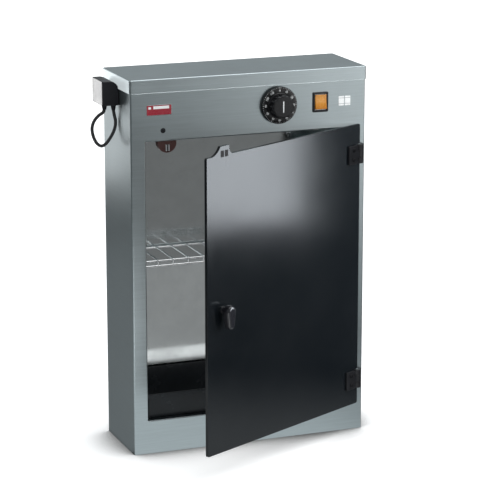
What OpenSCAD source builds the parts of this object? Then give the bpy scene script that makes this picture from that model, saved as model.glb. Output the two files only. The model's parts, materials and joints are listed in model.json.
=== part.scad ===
/* [Casing] */
// Width of the casing, side to side
body_w = 398; // [398:2:430]
// Depth of the casing, front to back
body_d = 136; // [132:2:150]
// Overall height with the lid on
body_h = 610; // [604:2:640]
// Thickness of the steel sheet
sheet = 1.2; // [1:0.1:1.4]
// Outer radius of the folded vertical corners
corner_r = 2.5; // [2:0.5:4]
// Height of the lid's skirt
skirt_h = 22; // [16:1:24]

/* [Opening] */
// Width of the door opening
opening_w = 350; // [340:2:350]
// Height of the sill below the opening
sill_h = 55; // [53:1:60]
// Height of the opening's top edge
opening_top = 511; // [506:1:512]
// Depth of the folded edge round the opening
fold = 12; // [8:1:12]

/* [Door] */
// Width of the door panel
door_w = 370; // [364:1:372]
// Height of the door's bottom edge
door_bottom = 47; // [44:1:50]
// Height of the door's top edge, without its tab
door_top = 517.5; // [514:0.5:519]
// Thickness of the door panel
door_t = 5; // [4:0.5:5]
// Gap between the closed door and the casing
door_gap = 3.5; // [3:0.5:4]
// How far the door stands open as drawn, in degrees
door_open = 28; // [0:1:60]
// Height of the tab above the door's top edge
tab_h = 14; // [10:1:15]

/* [Hinges] */
// Height of each hinge
hinge_h = 31; // [27:1:34]
// Outer radius of the hinge barrel
barrel_r = 7; // [6:0.5:7.5]
// Radius of the hinge pin
pin_r = 2; // [1.5:0.5:2.5]
// Height of the upper hinge's middle
hinge_upper_z = 469; // [440:1:474]
// Height of the lower hinge's middle
hinge_lower_z = 90; // [84:1:120]

/* [Controls] */
// Height of the timer and switch
control_z = 556; // [554:0.5:558]
// Sideways place of the timer
timer_x = 48.5; // [30:0.5:55]
// Radius of the timer knob's skirt
dial_r = 30; // [27:1:30]
// Radius of the timer knob's grip
grip_r = 19; // [16:1:20]
// Sideways place of the rocker switch
switch_x = 120.5; // [112:0.5:124]
// Angle between the switch's two positions
rocker_travel = 14; // [10:1:14]

/* [Inside] */
// Height of the sheet between the chamber and the electrics
partition_z = 519.4; // [518:0.2:520]
// Height of the rack's rails
rail_top = 306; // [200:1:400]
// Spacing of the rack's cross wires
wire_pitch = 26; // [20:1:38]
// Height of the drip tray's front lip
tray_front_z = 94.5; // [80:0.5:100]
// Height of the drip tray's rear edge
tray_rear_z = 105; // [100:0.5:115]
// Radius of the lamp tube
lamp_r = 7.75; // [6:0.25:8]
// Length of the lamp between its end faces
lamp_l = 288; // [212:1:288]

/* [Supply box] */
// How far the supply box stands out from the side
box_w = 28; // [26:1:32]
// Length of the supply box, front to back
box_l = 53; // [50:1:56]
// Height of the supply box
box_h = 39; // [38:1:40]
// Radius of the link cord
cord_r = 2.6; // [2.2:0.1:2.7]

/* [Hidden] */
$fn = 48;

// Overlap that makes a cut pass clean through, and the gap left round a slack fit
cut = 1;
slack = 0.1;
// Radial clearance of a turning fit
running = 0.05;

// Colours of the finishes
steel = [0.72, 0.75, 0.76];
bright = [0.85, 0.87, 0.88];
black = [0.06, 0.06, 0.07];
white = [0.93, 0.93, 0.92];
amber = [0.93, 0.62, 0.2];
smoke = [0.12, 0.13, 0.15, 0.9];
brass = [0.8, 0.65, 0.3];
red = [0.72, 0.1, 0.12];

// Faces of the casing
front = -body_d / 2;
rear = body_d / 2;
side = body_w / 2;
case_h = body_h - sheet;
inner_x = side - sheet;
inner_front = front + sheet;
inner_rear = rear - sheet;
// Width of the flanges that the back panel is screwed to
flange = 12;
// Small screws: head and shank
screw_head_r = 3.4;
screw_head_h = 2;
screw_r = 1.5;
lid_screw_dx = 150;
back_screw_z = [30, 210, 390, 545];
opening_x = opening_w / 2;

// Door and hinges, as they stand with the door shut
axis_x = side - 13.2;
axis_y = front - barrel_r - 1;
door_back = front - door_gap;
door_front = door_back - door_t;
door_right = axis_x + 1.4;
door_left = door_right - door_w;
door_corner_r = 3;
// The tab's flat top and the arcs on each side of it
tab_left = door_left + 31;
tab_right = tab_left + 21;
tab_left_run = 24;
tab_right_run = 10.5;
tab_dip = 0.6;
magnet_w = 7.4;
magnet_h = 10;
magnet_z = door_top + 2;
magnet_gap = 2;
leaf_w = 22;
leaf_t = 4;
leaf_start = 8;
leaf_screw_r = 2;
leaf_screw_x = axis_x - leaf_start - leaf_w / 2;
leaf_screw_dz = 8;
leaf_nut_h = 2.2;
leaf_shank_l = leaf_t + door_t + leaf_nut_h + 0.4;
// Height of the middle barrel, which turns with the door
leaf_barrel = 12;
hinge_stud_x = axis_x + 2;
hinge_stud_dz = 9;
knob_x = door_left + 36;
knob_z = 276;
knob_top_r = 9.5;
knob_low_r = 6;
knob_drop = 22;
knob_stem = 8;
knob_t = 12;
knob_screw_r = 2;
knob_thread = 3;

// Safety switch and catch over the door's free corner
catch_x = door_left + 44.3;
magnet_x = tab_left + 9.1;
sensor_x = door_left + 37.2;
sensor_z = opening_top + 17;
sensor_r = 3.6;
sensor_l = 20;
sensor_rim = 0.8;
catch_r = 15.4;
catch_back = front + fold + sheet;
catch_drop = 19;
pole_w = 1.6;
pole_l = 11;
pole_h = 10;
pole_gap = 3;
pole_z = opening_top - 11;
strike_w = 24;
strike_h = 14;
strike_t = 1.5;
strike_low = opening_top - 18;

// Hole centres of the wall fixing
wall_hole_dx = 160;
wall_hole_low = 60;
wall_hole_high = 560;
wall_hole_r = 3.5;

// Badge and labels
badge_x = -152;
badge_z = 561;
badge_w = 42;
badge_h = 17;
badge_t = 0.8;
badge_r = 2;
label_x = 157;
label_pitch = 11;
label_z = 555.5;
label_w = 9.6;
label_h = 15.5;
label_t = 0.3;
label_r = 1;

// Timer
timer_half = 25;
timer_depth = 36;
bushing_r = 4.9;
shaft_r = 3;
shaft_back = 29;
knob_face = 22;
knob_cap = 4;
skirt_t = 4;
knob_back = 2;
flutes = 12;
pointer_w = 1.8;
pointer_l = 18;
pointer_t = 0.5;
timer_screw_dx = 14;

// Switch
bezel_w = 27;
bezel_h = 32.5;
bezel_t = 2;
switch_body_w = 23.6;
switch_body_h = 29;
switch_depth = 22;
window_w = 20;
window_h = 25.9;
rocker_r = 12.8;
rocker_w = 19.4;
rocker_depth = 0.5;
trunnion_r = 1.5;
trunnion_l = window_w + 2.4;

// Lamp
lamp_z = 504;
lamp_y = 27;
cap_l = 9;
lamp_pin_r = 1.1;
lamp_pin_dy = 2.5;
lamp_pin_l = 7;
lamp_glass = 0.8;
holder_l = 9.5;
holder_d = 20;

// Ballast, starter and terminals, on top of the partition
ballast_x = -145;
ballast_y = 8;
ballast_l = 96;
ballast_w = 40;
ballast_h = 28;
ballast_foot = 12;
starter_x = -8;
starter_y = 40;
starter_r = 10.75;
starter_l = 34;
starter_base = 5;
terminal_x = -178;
terminal_y = -40;
terminal_w = 16;
terminal_l = 48;
terminal_h = 15;
terminal_ways = 5;
terminal_pitch = 9.2;

// Rack and tray
rack_x = inner_x - 7;
rack_front = front + 41;
rack_rear = front + 127;
rack_wire_r = 1.6;
rack_frame_r = 2;
rack_lip = 8;
rail_l = 96;
rail_y = 14;
tray_x = 172;
tray_front = front + 14;
tray_rear = front + 129;
tray_t = 1.2;
floor_z = 48.8;
tray_lip = 6;

// Supply box and its cord
box_front = front + 55;
box_low = 562;
box_round = 16;
box_wall = 2;
box_screw_in = 8;
box_screw_z = box_low + 14;
lead_hole_r = 5;
lead_r = 3;
gland_front = [-206, -4];
gland_rear = [-219, 2];
gland_l = 8;
gland_neck_r = 3.4;
cord_top = box_low - gland_l - 0.02;
// Middle of the cord from the front gland round to the rear one
cord_route = [
    [-206, -4, cord_top], [-204.8, -4, 546], [-202.9, -4, 537], [-203.2, -3.8, 528], [-206.3, -3, 518],
    [-211.5, -2, 508.5], [-218, -1, 500], [-225, 0, 496.4], [-231.5, 0.8, 500], [-236.3, 1.5, 508],
    [-239.2, 2, 518], [-239.3, 2.2, 528], [-235.5, 2.2, 537.5], [-228.5, 2.1, 545], [-221.6, 2, 549.4],
    [-219, 2, cord_top]
];
cord_steps = 3;
cord_sides = 10;
// A direction that the cord never takes
cord_ref = [0, 1, 0];

// Leads inside: colour, radius and the points each passes through
blue = [0.25, 0.35, 0.6];
brown = [0.45, 0.25, 0.15];
wires = [
    [blue, 1.1, [
        [-170, -34.4, 531], [-170, -34.4, 542], [-150, -38, 556], [-60, -42, 560],
        [0, -26, 566], [40, -16, 570], [58, -18, 570], [60, -24, 570], [60, -30.8, 570]
    ]],
    [brown, 1.1, [
        [-170, -25.2, 531], [-170, -25.2, 544], [-148, -24, 566], [-60, -10, 588],
        [40, -8, 590], [105, -16, 578], [120, -30, 560], [120.5, -38, 556], [120.5, -46, 556]
    ]],
    [blue, 1.1, [
        [-49, 28, 536], [-42, 29, 535], [-34, 35, 529], [-28, 40, 526], [-21.4, 40, 526]
    ]],
    [brown, 1.6, [
        [-206, 13.5, 575], [-195, 13.5, 575], [-184, 10, 566], [-174, 0, 552],
        [-170, -6.8, 542], [-170, -6.8, 531]
    ]]
];
wire_steps = 3;
wire_sides = 6;
// A direction that none of the leads takes
wire_ref = [1, 1, -1];

// A rectangle with round corners, about the origin
module round_rect(w, h, r) {
    square([w - 2 * r, h], center = true);
    square([w, h - 2 * r], center = true);
    for (sx = [-1, 1], sy = [-1, 1])
        translate([sx * (w / 2 - r), sy * (h / 2 - r)])
            circle(r);
}

// Stands children on the front face at x, z: their +Z points out of the face
module on_front(x, z) {
    translate([x, front, z])
        rotate([90, 0, 0])
            children();
}

// The same on the rear face, pointing backwards
module on_rear(x, z) {
    translate([x, rear, z])
        rotate([-90, 0, 0])
            children();
}

// The same on the front of the shut door
module on_door(x, z) {
    translate([x, door_front, z])
        rotate([90, 0, 0])
            children();
}

// Turns children drawn on the shut door to where the door stands
module door_pose() {
    translate([axis_x, axis_y, 0])
        rotate([0, 0, door_open])
            translate([-axis_x, -axis_y, 0])
                children();
}

// A round bar from a to b, both at the same height or along one axis
module rod(a, b, r) {
    v = b - a;
    l = norm(v);
    translate(a)
        rotate([0, acos(v[2] / l), atan2(v[1], v[0])])
            cylinder(h = l, r = r);
}

// A wire through points, with a ball at each bend
module wire(points, r) {
    for (i = [0 : len(points) - 2])
        rod(points[i], points[i + 1], r);
    for (i = [1 : len(points) - 2])
        translate(points[i])
            sphere(r);
}

// A screw's pan head and a short shank behind it
module pan_screw(head_r, head_h, shank_r, shank_l) {
    intersection() {
        cylinder(h = head_h, r = head_r);
        translate([0, 0, head_h - head_r * 2.2])
            sphere(head_r * 2.2);
    }
    translate([0, 0, -shank_l])
        cylinder(h = shank_l, r = shank_r);
}

module casing() {
    color(steel)
        difference() {
            union() {
                casing_wrap();
                opening_fold();
            }
            casing_holes();
        }
}

// Sides and front folded from one sheet, with flanges at the rear
module casing_wrap() {
    difference() {
        linear_extrude(case_h)
            difference() {
                union() {
                    round_rect(body_w, body_d, corner_r);
                    translate([-side, 0])
                        square([body_w, rear]);
                }
                translate([-inner_x, 0])
                    square([2 * inner_x, rear + cut]);
                round_rect(2 * inner_x, 2 * -inner_front, corner_r - sheet);
            }
        translate([-opening_x, front - cut, sill_h])
            cube([opening_w, sheet + 2 * cut, opening_top - sill_h]);
    }
    for (sx = [-1, 1])
        translate([sx * (inner_x - flange / 2), inner_rear - sheet / 2, case_h / 2])
            cube([flange, sheet, case_h], center = true);
}

// The edge turned inwards round the door opening
module opening_fold() {
    difference() {
        translate([-opening_x - sheet, front, sill_h - sheet])
            cube([opening_w + 2 * sheet, fold, opening_top - sill_h + 2 * sheet]);
        translate([-opening_x, front - cut, sill_h])
            cube([opening_w, fold + 2 * cut, opening_top - sill_h]);
    }
}

module casing_holes() {
    on_front(timer_x, control_z)
        through(bushing_r + slack);
    for (sx = [-1, 1])
        on_front(timer_x + sx * timer_screw_dx, control_z)
            through(screw_r + slack);
    on_front(switch_x, control_z)
        cube([switch_body_w + 4 * slack, switch_body_h + 4 * slack, 4 * sheet], center = true);
    on_front(sensor_x, sensor_z)
        through(sensor_r + slack);
    for (z = [hinge_upper_z, hinge_lower_z], dz = [-hinge_stud_dz, hinge_stud_dz])
        on_front(hinge_stud_x, z + dz)
            through(screw_r + slack);
    box_holes();
}

// The holes between the supply box and the side: one for the leads, two for screws
module box_holes() {
    translate([-side, box_front + box_l / 2, box_low + box_h / 3])
        rotate([0, 90, 0])
            cylinder(h = 6 * sheet, r = lead_hole_r, center = true);
    for (dy = [box_screw_in, box_l - box_screw_in])
        translate([-side, box_front + dy, box_screw_z])
            rotate([0, 90, 0])
                cylinder(h = 6 * sheet, r = screw_r + slack, center = true);
}

// A round hole through the sheet of the face it stands on
module through(r) {
    cylinder(h = 4 * sheet, r = r, center = true);
}

module lid() {
    lid_w = body_w + 2 * slack;
    lid_d = body_d + 2 * slack;
    color(bright)
        difference() {
            translate([0, 0, body_h - skirt_h])
                linear_extrude(skirt_h)
                    round_rect(lid_w + 2 * sheet, lid_d + 2 * sheet, corner_r + sheet);
            translate([0, 0, body_h - skirt_h - cut])
                linear_extrude(skirt_h - sheet + cut)
                    union() {
                        round_rect(lid_w, lid_d, corner_r);
                        translate([-lid_w / 2, 0])
                            square([lid_w, lid_d / 2]);
                    }
            lid_screw_places()
                cylinder(h = 8 * sheet, r = screw_r + 2 * slack, center = true);
        }
}

// Puts children at each screw at the rear of the lid
module lid_screw_places() {
    for (x = [-lid_screw_dx, 0, lid_screw_dx])
        on_rear(x, body_h - skirt_h / 2)
            children();
}

module lid_screws() {
    color(steel)
        lid_screw_places()
            translate([0, 0, sheet + slack])
                pan_screw(screw_head_r, screw_head_h, screw_r, 6);
}

module back_panel() {
    color(steel)
        difference() {
            translate([-inner_x, inner_rear, 0])
                cube([2 * inner_x, sheet, case_h]);
            for (sx = [-1, 1], z = [wall_hole_low, wall_hole_high])
                on_rear(sx * wall_hole_dx, z)
                    through(wall_hole_r);
            lid_screw_places()
                through(screw_r + slack);
            back_screw_places()
                through(screw_r + slack);
        }
}

// Puts children at each screw of the back panel
module back_screw_places() {
    for (sx = [-1, 1], z = back_screw_z)
        on_rear(sx * (inner_x - flange / 2), z)
            children();
}

module back_screws() {
    color(steel)
        back_screw_places()
            pan_screw(screw_head_r, screw_head_h, screw_r, sheet);
}

module bottom_pan() {
    start = inner_front + corner_r - sheet;
    depth = inner_rear - start;
    color(steel) {
        translate([-inner_x, start, 0])
            cube([2 * inner_x, depth - sheet, sheet]);
        for (sx = [-1, 1])
            translate([sx * (inner_x - sheet / 2), -2 * sheet, flange / 2])
                cube([sheet, depth - 6 * sheet, flange], center = true);
        translate([-inner_x + flange, start, 0])
            cube([2 * (inner_x - flange), sheet, flange]);
        translate([-inner_x + flange, inner_rear - sheet, 0])
            cube([2 * (inner_x - flange), sheet, flange]);
    }
}

// A level sheet between the sides, with its edges turned up or down
module shelf(z, turn) {
    start = inner_front + corner_r - sheet;
    depth = inner_rear - 2 * sheet - start;
    translate([-inner_x, start, z])
        cube([2 * inner_x, depth, sheet]);
    for (sx = [-1, 1])
        translate([sx * (inner_x - sheet / 2), start + depth / 2, z + sheet / 2 + turn * flange / 2])
            cube([sheet, depth, flange + sheet], center = true);
}

module partition() {
    color(steel)
        difference() {
            shelf(partition_z, 1);
            for (sx = [-1, 1])
                translate([sx * (lamp_l / 2 + holder_l / 2), lamp_y + 14, partition_z])
                    cylinder(h = 4 * sheet, r = lead_r, center = true);
        }
}

module chamber_floor() {
    color(steel)
        shelf(floor_z, -1);
}

// An angle under the rack, on one side wall
module rack_rail(sx) {
    color(steel) {
        translate([sx * (inner_x - flange / 2), rail_y, rail_top - sheet / 2])
            cube([flange, rail_l, sheet], center = true);
        translate([sx * (inner_x - sheet / 2), rail_y, rail_top - flange / 2])
            cube([sheet, rail_l, flange], center = true);
    }
}

module wire_rack() {
    z = rail_top + rack_frame_r;
    count = floor(2 * (rack_x - rack_frame_r) / wire_pitch);
    first = -(count - 1) * wire_pitch / 2;
    lip_y = rack_front - rack_frame_r;
    lip_z = z - rack_lip;
    color(bright) {
        wire_loop(z);
        for (i = [0 : count - 1])
            wire([
                [first + i * wire_pitch, rack_rear, z + rack_frame_r],
                [first + i * wire_pitch, lip_y, z + rack_frame_r],
                [first + i * wire_pitch, lip_y, lip_z]
            ], rack_wire_r);
        rod([first, lip_y, lip_z], [-first, lip_y, lip_z], rack_frame_r);
    }
}

// The rack's outer frame, with a ball in each corner
module wire_loop(z) {
    corners = [
        [-rack_x, rack_front, z], [rack_x, rack_front, z],
        [rack_x, rack_rear, z], [-rack_x, rack_rear, z]
    ];
    for (i = [0 : 3]) {
        rod(corners[i], corners[(i + 1) % 4], rack_frame_r);
        translate(corners[i])
            sphere(rack_frame_r);
    }
}

module drip_tray() {
    base = floor_z + sheet;
    depth = tray_rear - tray_front;
    color(black)
        difference() {
            translate([-tray_x, 0, 0])
                rotate([90, 0, 90])
                    linear_extrude(2 * tray_x)
                        tray_side(base, 0);
            translate([-tray_x + tray_t, 0, 0])
                rotate([90, 0, 90])
                    linear_extrude(2 * (tray_x - tray_t))
                        tray_side(base + tray_t, tray_t);
        }
    color(black)
        translate([-tray_x, tray_front - tray_t, tray_front_z - tray_lip])
            cube([2 * tray_x, tray_t, tray_lip]);
}

// The tray's side outline; inset leaves room for its walls and clears its open top
module tray_side(base, inset) {
    up = inset > 0 ? 20 : 0;
    polygon([
        [tray_front + inset, base],
        [tray_rear - inset, base],
        [tray_rear - inset, tray_rear_z + up],
        [tray_front + inset, tray_front_z + up]
    ]);
}

module badge() {
    color(red)
        on_front(badge_x, badge_z)
            linear_extrude(badge_t)
                round_rect(badge_w, badge_h, badge_r);
}

module info_labels() {
    color(white)
        for (i = [0, 1])
            on_front(label_x + i * label_pitch, label_z)
                linear_extrude(label_t)
                    round_rect(label_w, label_h, label_r);
}

module door_sensor() {
    color(black)
        on_front(sensor_x, sensor_z) {
            intersection() {
                cylinder(h = 2 * sensor_rim, r = sensor_r + sensor_rim);
                translate([0, 0, -1.4 * sensor_r])
                    sphere(1.8 * sensor_r);
            }
            translate([0, 0, -sensor_l])
                cylinder(h = sensor_l, r = sensor_r);
        }
}

// A half-round block under the top edge, with a slot for the poles
module catch_housing() {
    color([0.2, 0.11, 0.1])
        difference() {
            translate([catch_x, catch_back, opening_top])
                rotate([90, 0, 0])
                    linear_extrude(fold + 0.4)
                        intersection() {
                            translate([0, catch_r - catch_drop])
                                circle(catch_r);
                            translate([-catch_r, -catch_drop])
                                square([2 * catch_r, catch_drop]);
                        }
            translate([catch_x, front, pole_z])
                cube([pole_gap + 2 * pole_w + 2 * slack, 2 * fold - 4, pole_h + 2 * slack], center = true);
        }
}

module catch_poles() {
    color(bright)
        for (sx = [-1, 1])
            translate([catch_x + sx * (pole_gap + pole_w) / 2, front + 4, pole_z])
                cube([pole_w, pole_l, pole_h], center = true);
}

module catch_magnet() {
    color(black)
        translate([catch_x, front + 5, pole_z])
            cube([pole_gap - 0.04, pole_l - 3, pole_h - 1], center = true);
}

module uv_lamp_tube() {
    color([0.85, 0.9, 0.95, 0.5])
        translate([-lamp_l / 2 + cap_l, lamp_y, lamp_z])
            rotate([0, 90, 0])
                difference() {
                    cylinder(h = lamp_l - 2 * cap_l, r = lamp_r);
                    translate([0, 0, lamp_glass])
                        cylinder(h = lamp_l - 2 * cap_l - 2 * lamp_glass, r = lamp_r - lamp_glass);
                }
}

module lamp_caps() {
    color(bright)
        for (sx = [-1, 1])
            translate([sx * (lamp_l / 2 - cap_l / 2), lamp_y, lamp_z])
                rotate([0, 90, 0])
                    cylinder(h = cap_l, r = lamp_r + slack, center = true);
}

module lamp_pins() {
    color(brass)
        for (sx = [-1, 1], dy = [-lamp_pin_dy, lamp_pin_dy])
            translate([sx * (lamp_l / 2 + lamp_pin_l / 2), lamp_y + dy, lamp_z])
                rotate([0, 90, 0])
                    cylinder(h = lamp_pin_l, r = lamp_pin_r, center = true);
}

// A socket that hangs from the partition and takes the lamp's two pins
module lampholder(sx) {
    top = partition_z;
    low = lamp_z - 11;
    inner_face = lamp_l / 2 + 3 * slack;
    color(white)
        difference() {
            translate([sx * (inner_face + holder_l / 2), lamp_y, (top + low) / 2])
                cube([holder_l, holder_d, top - low], center = true);
            for (dy = [-lamp_pin_dy, lamp_pin_dy])
                translate([sx * (lamp_l / 2 + 4), lamp_y + dy, lamp_z])
                    rotate([0, 90, 0])
                        cylinder(h = 8, r = lamp_pin_r + slack, center = true);
        }
}

module ballast() {
    base = partition_z + sheet;
    color([0.8, 0.8, 0.78])
        difference() {
            union() {
                translate([ballast_x, ballast_y, base])
                    cube([ballast_l, ballast_w, ballast_h]);
                translate([ballast_x - ballast_foot, ballast_y, base])
                    cube([ballast_l + 2 * ballast_foot, ballast_w, 1.5]);
            }
            for (x = [ballast_x - ballast_foot / 2, ballast_x + ballast_l + ballast_foot / 2])
                translate([x, ballast_y + ballast_w / 2, base])
                    cylinder(h = 6, r = 2.2, center = true);
        }
}

module starter_holder() {
    color(white)
        translate([starter_x, starter_y, partition_z + sheet])
            difference() {
                cylinder(h = 2 * starter_base, r = starter_r + 2.25);
                translate([0, 0, starter_base])
                    cylinder(h = starter_base + cut, r = starter_r + 0.15);
            }
}

module starter() {
    color([0.88, 0.88, 0.85])
        translate([starter_x, starter_y, partition_z + sheet + starter_base])
            cylinder(h = starter_l, r = starter_r);
}

module terminal_block() {
    color([0.86, 0.84, 0.76])
        translate([terminal_x, terminal_y, partition_z + sheet])
            difference() {
                cube([terminal_w, terminal_l, terminal_h]);
                for (i = [0 : terminal_ways - 1])
                    translate([terminal_w / 2, 5.6 + i * terminal_pitch, terminal_h - 6])
                        cylinder(h = 6 + cut, r = 2.4);
            }
}

// Leads between the supply box, terminals, switch, timer and lamp gear
module wiring() {
    for (w = wires)
        color(w[0])
            tube(curve(w[2], wire_steps), w[1], wire_sides, wire_ref);
}

module timer_body() {
    color([0.85, 0.82, 0.72])
        on_front(timer_x, control_z)
            difference() {
                union() {
                    translate([0, 0, -sheet - timer_depth / 2])
                        cube([2 * timer_half, 2 * timer_half, timer_depth], center = true);
                    translate([0, 0, -sheet - cut])
                        cylinder(h = sheet + 0.8, r = bushing_r);
                }
                translate([0, 0, -shaft_back - cut])
                    cylinder(h = 2 * shaft_back, r = shaft_r + running);
                for (sx = [-1, 1])
                    translate([sx * timer_screw_dx, 0, -10])
                        cylinder(h = 12, r = screw_r + slack);
            }
}

module timer_screws() {
    color(steel)
        for (sx = [-1, 1])
            on_front(timer_x + sx * timer_screw_dx, control_z)
                pan_screw(3, 1.4, screw_r, 7);
}

module timer_shaft() {
    color(bright)
        on_front(timer_x, control_z)
            translate([0, 0, -shaft_back])
                cylinder(h = shaft_back + knob_face - knob_cap, r = shaft_r);
}

// A round skirt for the scale, and a fluted grip on it
module timer_knob() {
    color(black)
        on_front(timer_x, control_z)
            difference() {
                union() {
                    translate([0, 0, knob_back])
                        cylinder(h = skirt_t, r = dial_r);
                    translate([0, 0, knob_back])
                        cylinder(h = knob_face - knob_back, r = grip_r);
                }
                translate([0, 0, -cut])
                    cylinder(h = knob_face - knob_cap + cut, r = shaft_r);
                for (i = [0 : flutes - 1])
                    rotate([0, 0, (i + 0.5) * 360 / flutes])
                        translate([grip_r + 2.4, 0, knob_back + skirt_t])
                            cylinder(h = knob_face, r = 3.6);
            }
}

module knob_pointer() {
    color(white)
        on_front(timer_x, control_z)
            translate([-pointer_w / 2, -pointer_l / 2, knob_face])
                cube([pointer_w, pointer_l, pointer_t]);
}

module switch_housing() {
    color(black)
        on_front(switch_x, control_z)
            difference() {
                union() {
                    linear_extrude(bezel_t)
                        round_rect(bezel_w, bezel_h, 2);
                    translate([0, 0, -switch_depth / 2])
                        cube([switch_body_w, switch_body_h, switch_depth], center = true);
                }
                translate([0, 0, bezel_t - 8])
                    cube([window_w, window_h, 16], center = true);
                translate([0, 0, -rocker_depth])
                    rotate([0, 90, 0])
                        cylinder(h = trunnion_l + 4 * slack, r = trunnion_r + running, center = true);
            }
}

// The rocker's outline from the side: a dished face and a narrower back
module rocker_side() {
    polygon([[3.5, 0], [5, 13], [-3, 13], [-6, 6], [-6, -6], [-3, -13], [5, -13]]);
}

// The lit rocker on its two trunnions, with its upper half pressed in
module switch_rocker() {
    color(amber)
        on_front(switch_x, control_z)
            translate([0, 0, -rocker_depth])
                rotate([-rocker_travel / 2, 0, 0]) {
                    translate([rocker_w / 2, 0, 0])
                        rotate([0, -90, 0])
                            linear_extrude(rocker_w)
                                intersection() {
                                    circle(rocker_r);
                                    rocker_side();
                                }
                    rotate([0, 90, 0])
                        cylinder(h = trunnion_l, r = trunnion_r, center = true);
                }
}

// The supply box's end outline, rounded where it meets the side of the casing
module box_outline(inset) {
    w = box_w - 2 * inset;
    h = box_h - 2 * inset;
    r = box_round - inset;
    translate([-side - box_w + inset, box_low + inset]) {
        square([w, h - r]);
        square([w - r, h]);
        intersection() {
            square([w, h]);
            translate([w - r, h - r])
                circle(r);
        }
    }
}

module power_box() {
    color(black)
        difference() {
            translate([0, box_front + box_l, 0])
                rotate([90, 0, 0])
                    linear_extrude(box_l)
                        box_outline(0);
            translate([0, box_front + box_l - box_wall, 0])
                rotate([90, 0, 0])
                    linear_extrude(box_l - 2 * box_wall)
                        box_outline(box_wall);
            for (g = [gland_front, gland_rear])
                translate([g[0], g[1], box_low])
                    cylinder(h = 3 * box_wall, r = gland_neck_r + slack, center = true);
            box_holes();
            lid_rebate();
        }
}

// Room for the lid's skirt at the top of the supply box
module lid_rebate() {
    reach = sheet + 3 * slack;
    translate([-side - reach, box_front - cut, body_h - skirt_h - slack])
        cube([reach + cut, box_l + 2 * cut, skirt_h]);
}

module power_box_screws() {
    color(steel)
        for (dy = [box_screw_in, box_l - box_screw_in])
            translate([-side - box_wall, box_front + dy, box_screw_z])
                rotate([0, -90, 0])
                    pan_screw(2.8, 1.6, screw_r, 6);
}

// A tapered grommet under the supply box
module cord_gland(place) {
    color(black)
        translate([place[0], place[1], box_low]) {
            translate([0, 0, -gland_l])
                cylinder(h = gland_l, r1 = cord_r + 0.5, r2 = 4.6);
            cylinder(h = box_wall, r = gland_neck_r);
            translate([0, 0, box_wall])
                cylinder(h = 1.6, r = 4.6);
        }
}

// A smooth curve through the points of a route
function curve_point(p, i, t) =
    let (
        last = len(p) - 1,
        a = p[max(i - 1, 0)],
        b = p[i],
        c = p[min(i + 1, last)],
        d = p[min(i + 2, last)]
    )
    0.5 * (2 * b + (c - a) * t + (2 * a - 5 * b + 4 * c - d) * t * t + (3 * b - a - 3 * c + d) * t * t * t);

function curve(p, steps) = [
    for (i = [0 : len(p) - 2], k = [0 : steps - 1]) curve_point(p, i, k / steps),
    p[len(p) - 1]
];

function unit(v) = v / norm(v);

// The direction of the curve at one of its points, to the nearest axis at both ends
function along(c, i) =
    i == 0 ? square_to(c[1] - c[0]) :
    i == len(c) - 1 ? square_to(c[i] - c[i - 1]) :
    unit(c[i + 1] - c[i - 1]);

function square_to(v) =
    let (most = max(abs(v[0]), abs(v[1]), abs(v[2])))
    abs(v[0]) == most ? [sign(v[0]), 0, 0] :
    abs(v[1]) == most ? [0, sign(v[1]), 0] :
    [0, 0, sign(v[2])];

// One ring of the tube, square to the curve, which never runs along ref
function ring(c, i, r, sides, ref) =
    let (
        t = along(c, i),
        u = unit(cross(t, ref)),
        v = cross(t, u)
    )
    [for (k = [0 : sides - 1]) c[i] + r * (cos(360 * k / sides) * u + sin(360 * k / sides) * v)];

module tube(c, r, sides, ref) {
    rings = len(c);
    points = [for (i = [0 : rings - 1]) each ring(c, i, r, sides, ref)];
    walls = [
        for (i = [0 : rings - 2], k = [0 : sides - 1])
            let (next = (k + 1) % sides, low = i * sides, high = low + sides)
            [low + k, low + next, high + next, high + k]
    ];
    start = [for (k = [sides - 1 : -1 : 0]) k];
    end = [for (k = [0 : sides - 1]) (rings - 1) * sides + k];
    polyhedron(points = points, faces = concat(walls, [start, end]));
}

module link_cord() {
    color(black)
        tube(curve(cord_route, cord_steps), cord_r, cord_sides, cord_ref);
}

// The half of a hinge that is fixed to the casing
module hinge_frame(z) {
    color(black)
        translate([axis_x, axis_y, z])
            difference() {
                union() {
                    cylinder(h = hinge_h, r = barrel_r, center = true);
                    translate([0, 0, -hinge_h / 2])
                        cube([barrel_r + 1.6, front - axis_y, hinge_h]);
                }
                cylinder(h = hinge_h + cut, r = pin_r, center = true);
                cylinder(h = leaf_barrel + 6 * slack, r = barrel_r + 3 * slack, center = true);
            }
}

module hinge_pins() {
    color(bright)
        for (z = [hinge_upper_z, hinge_lower_z])
            translate([axis_x, axis_y, z])
                cylinder(h = hinge_h + 1, r = pin_r, center = true);
}

// Studs and nuts that hold the fixed halves, inside the casing
module hinge_fixings() {
    color(steel)
        for (z = [hinge_upper_z, hinge_lower_z], dz = [-hinge_stud_dz, hinge_stud_dz])
            on_front(hinge_stud_x, z + dz) {
                translate([0, 0, -5])
                    cylinder(h = 5, r = screw_r);
                translate([0, 0, -sheet - 2.4])
                    cylinder(h = 2.4, r = 3.1, $fn = 6);
            }
}

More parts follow.
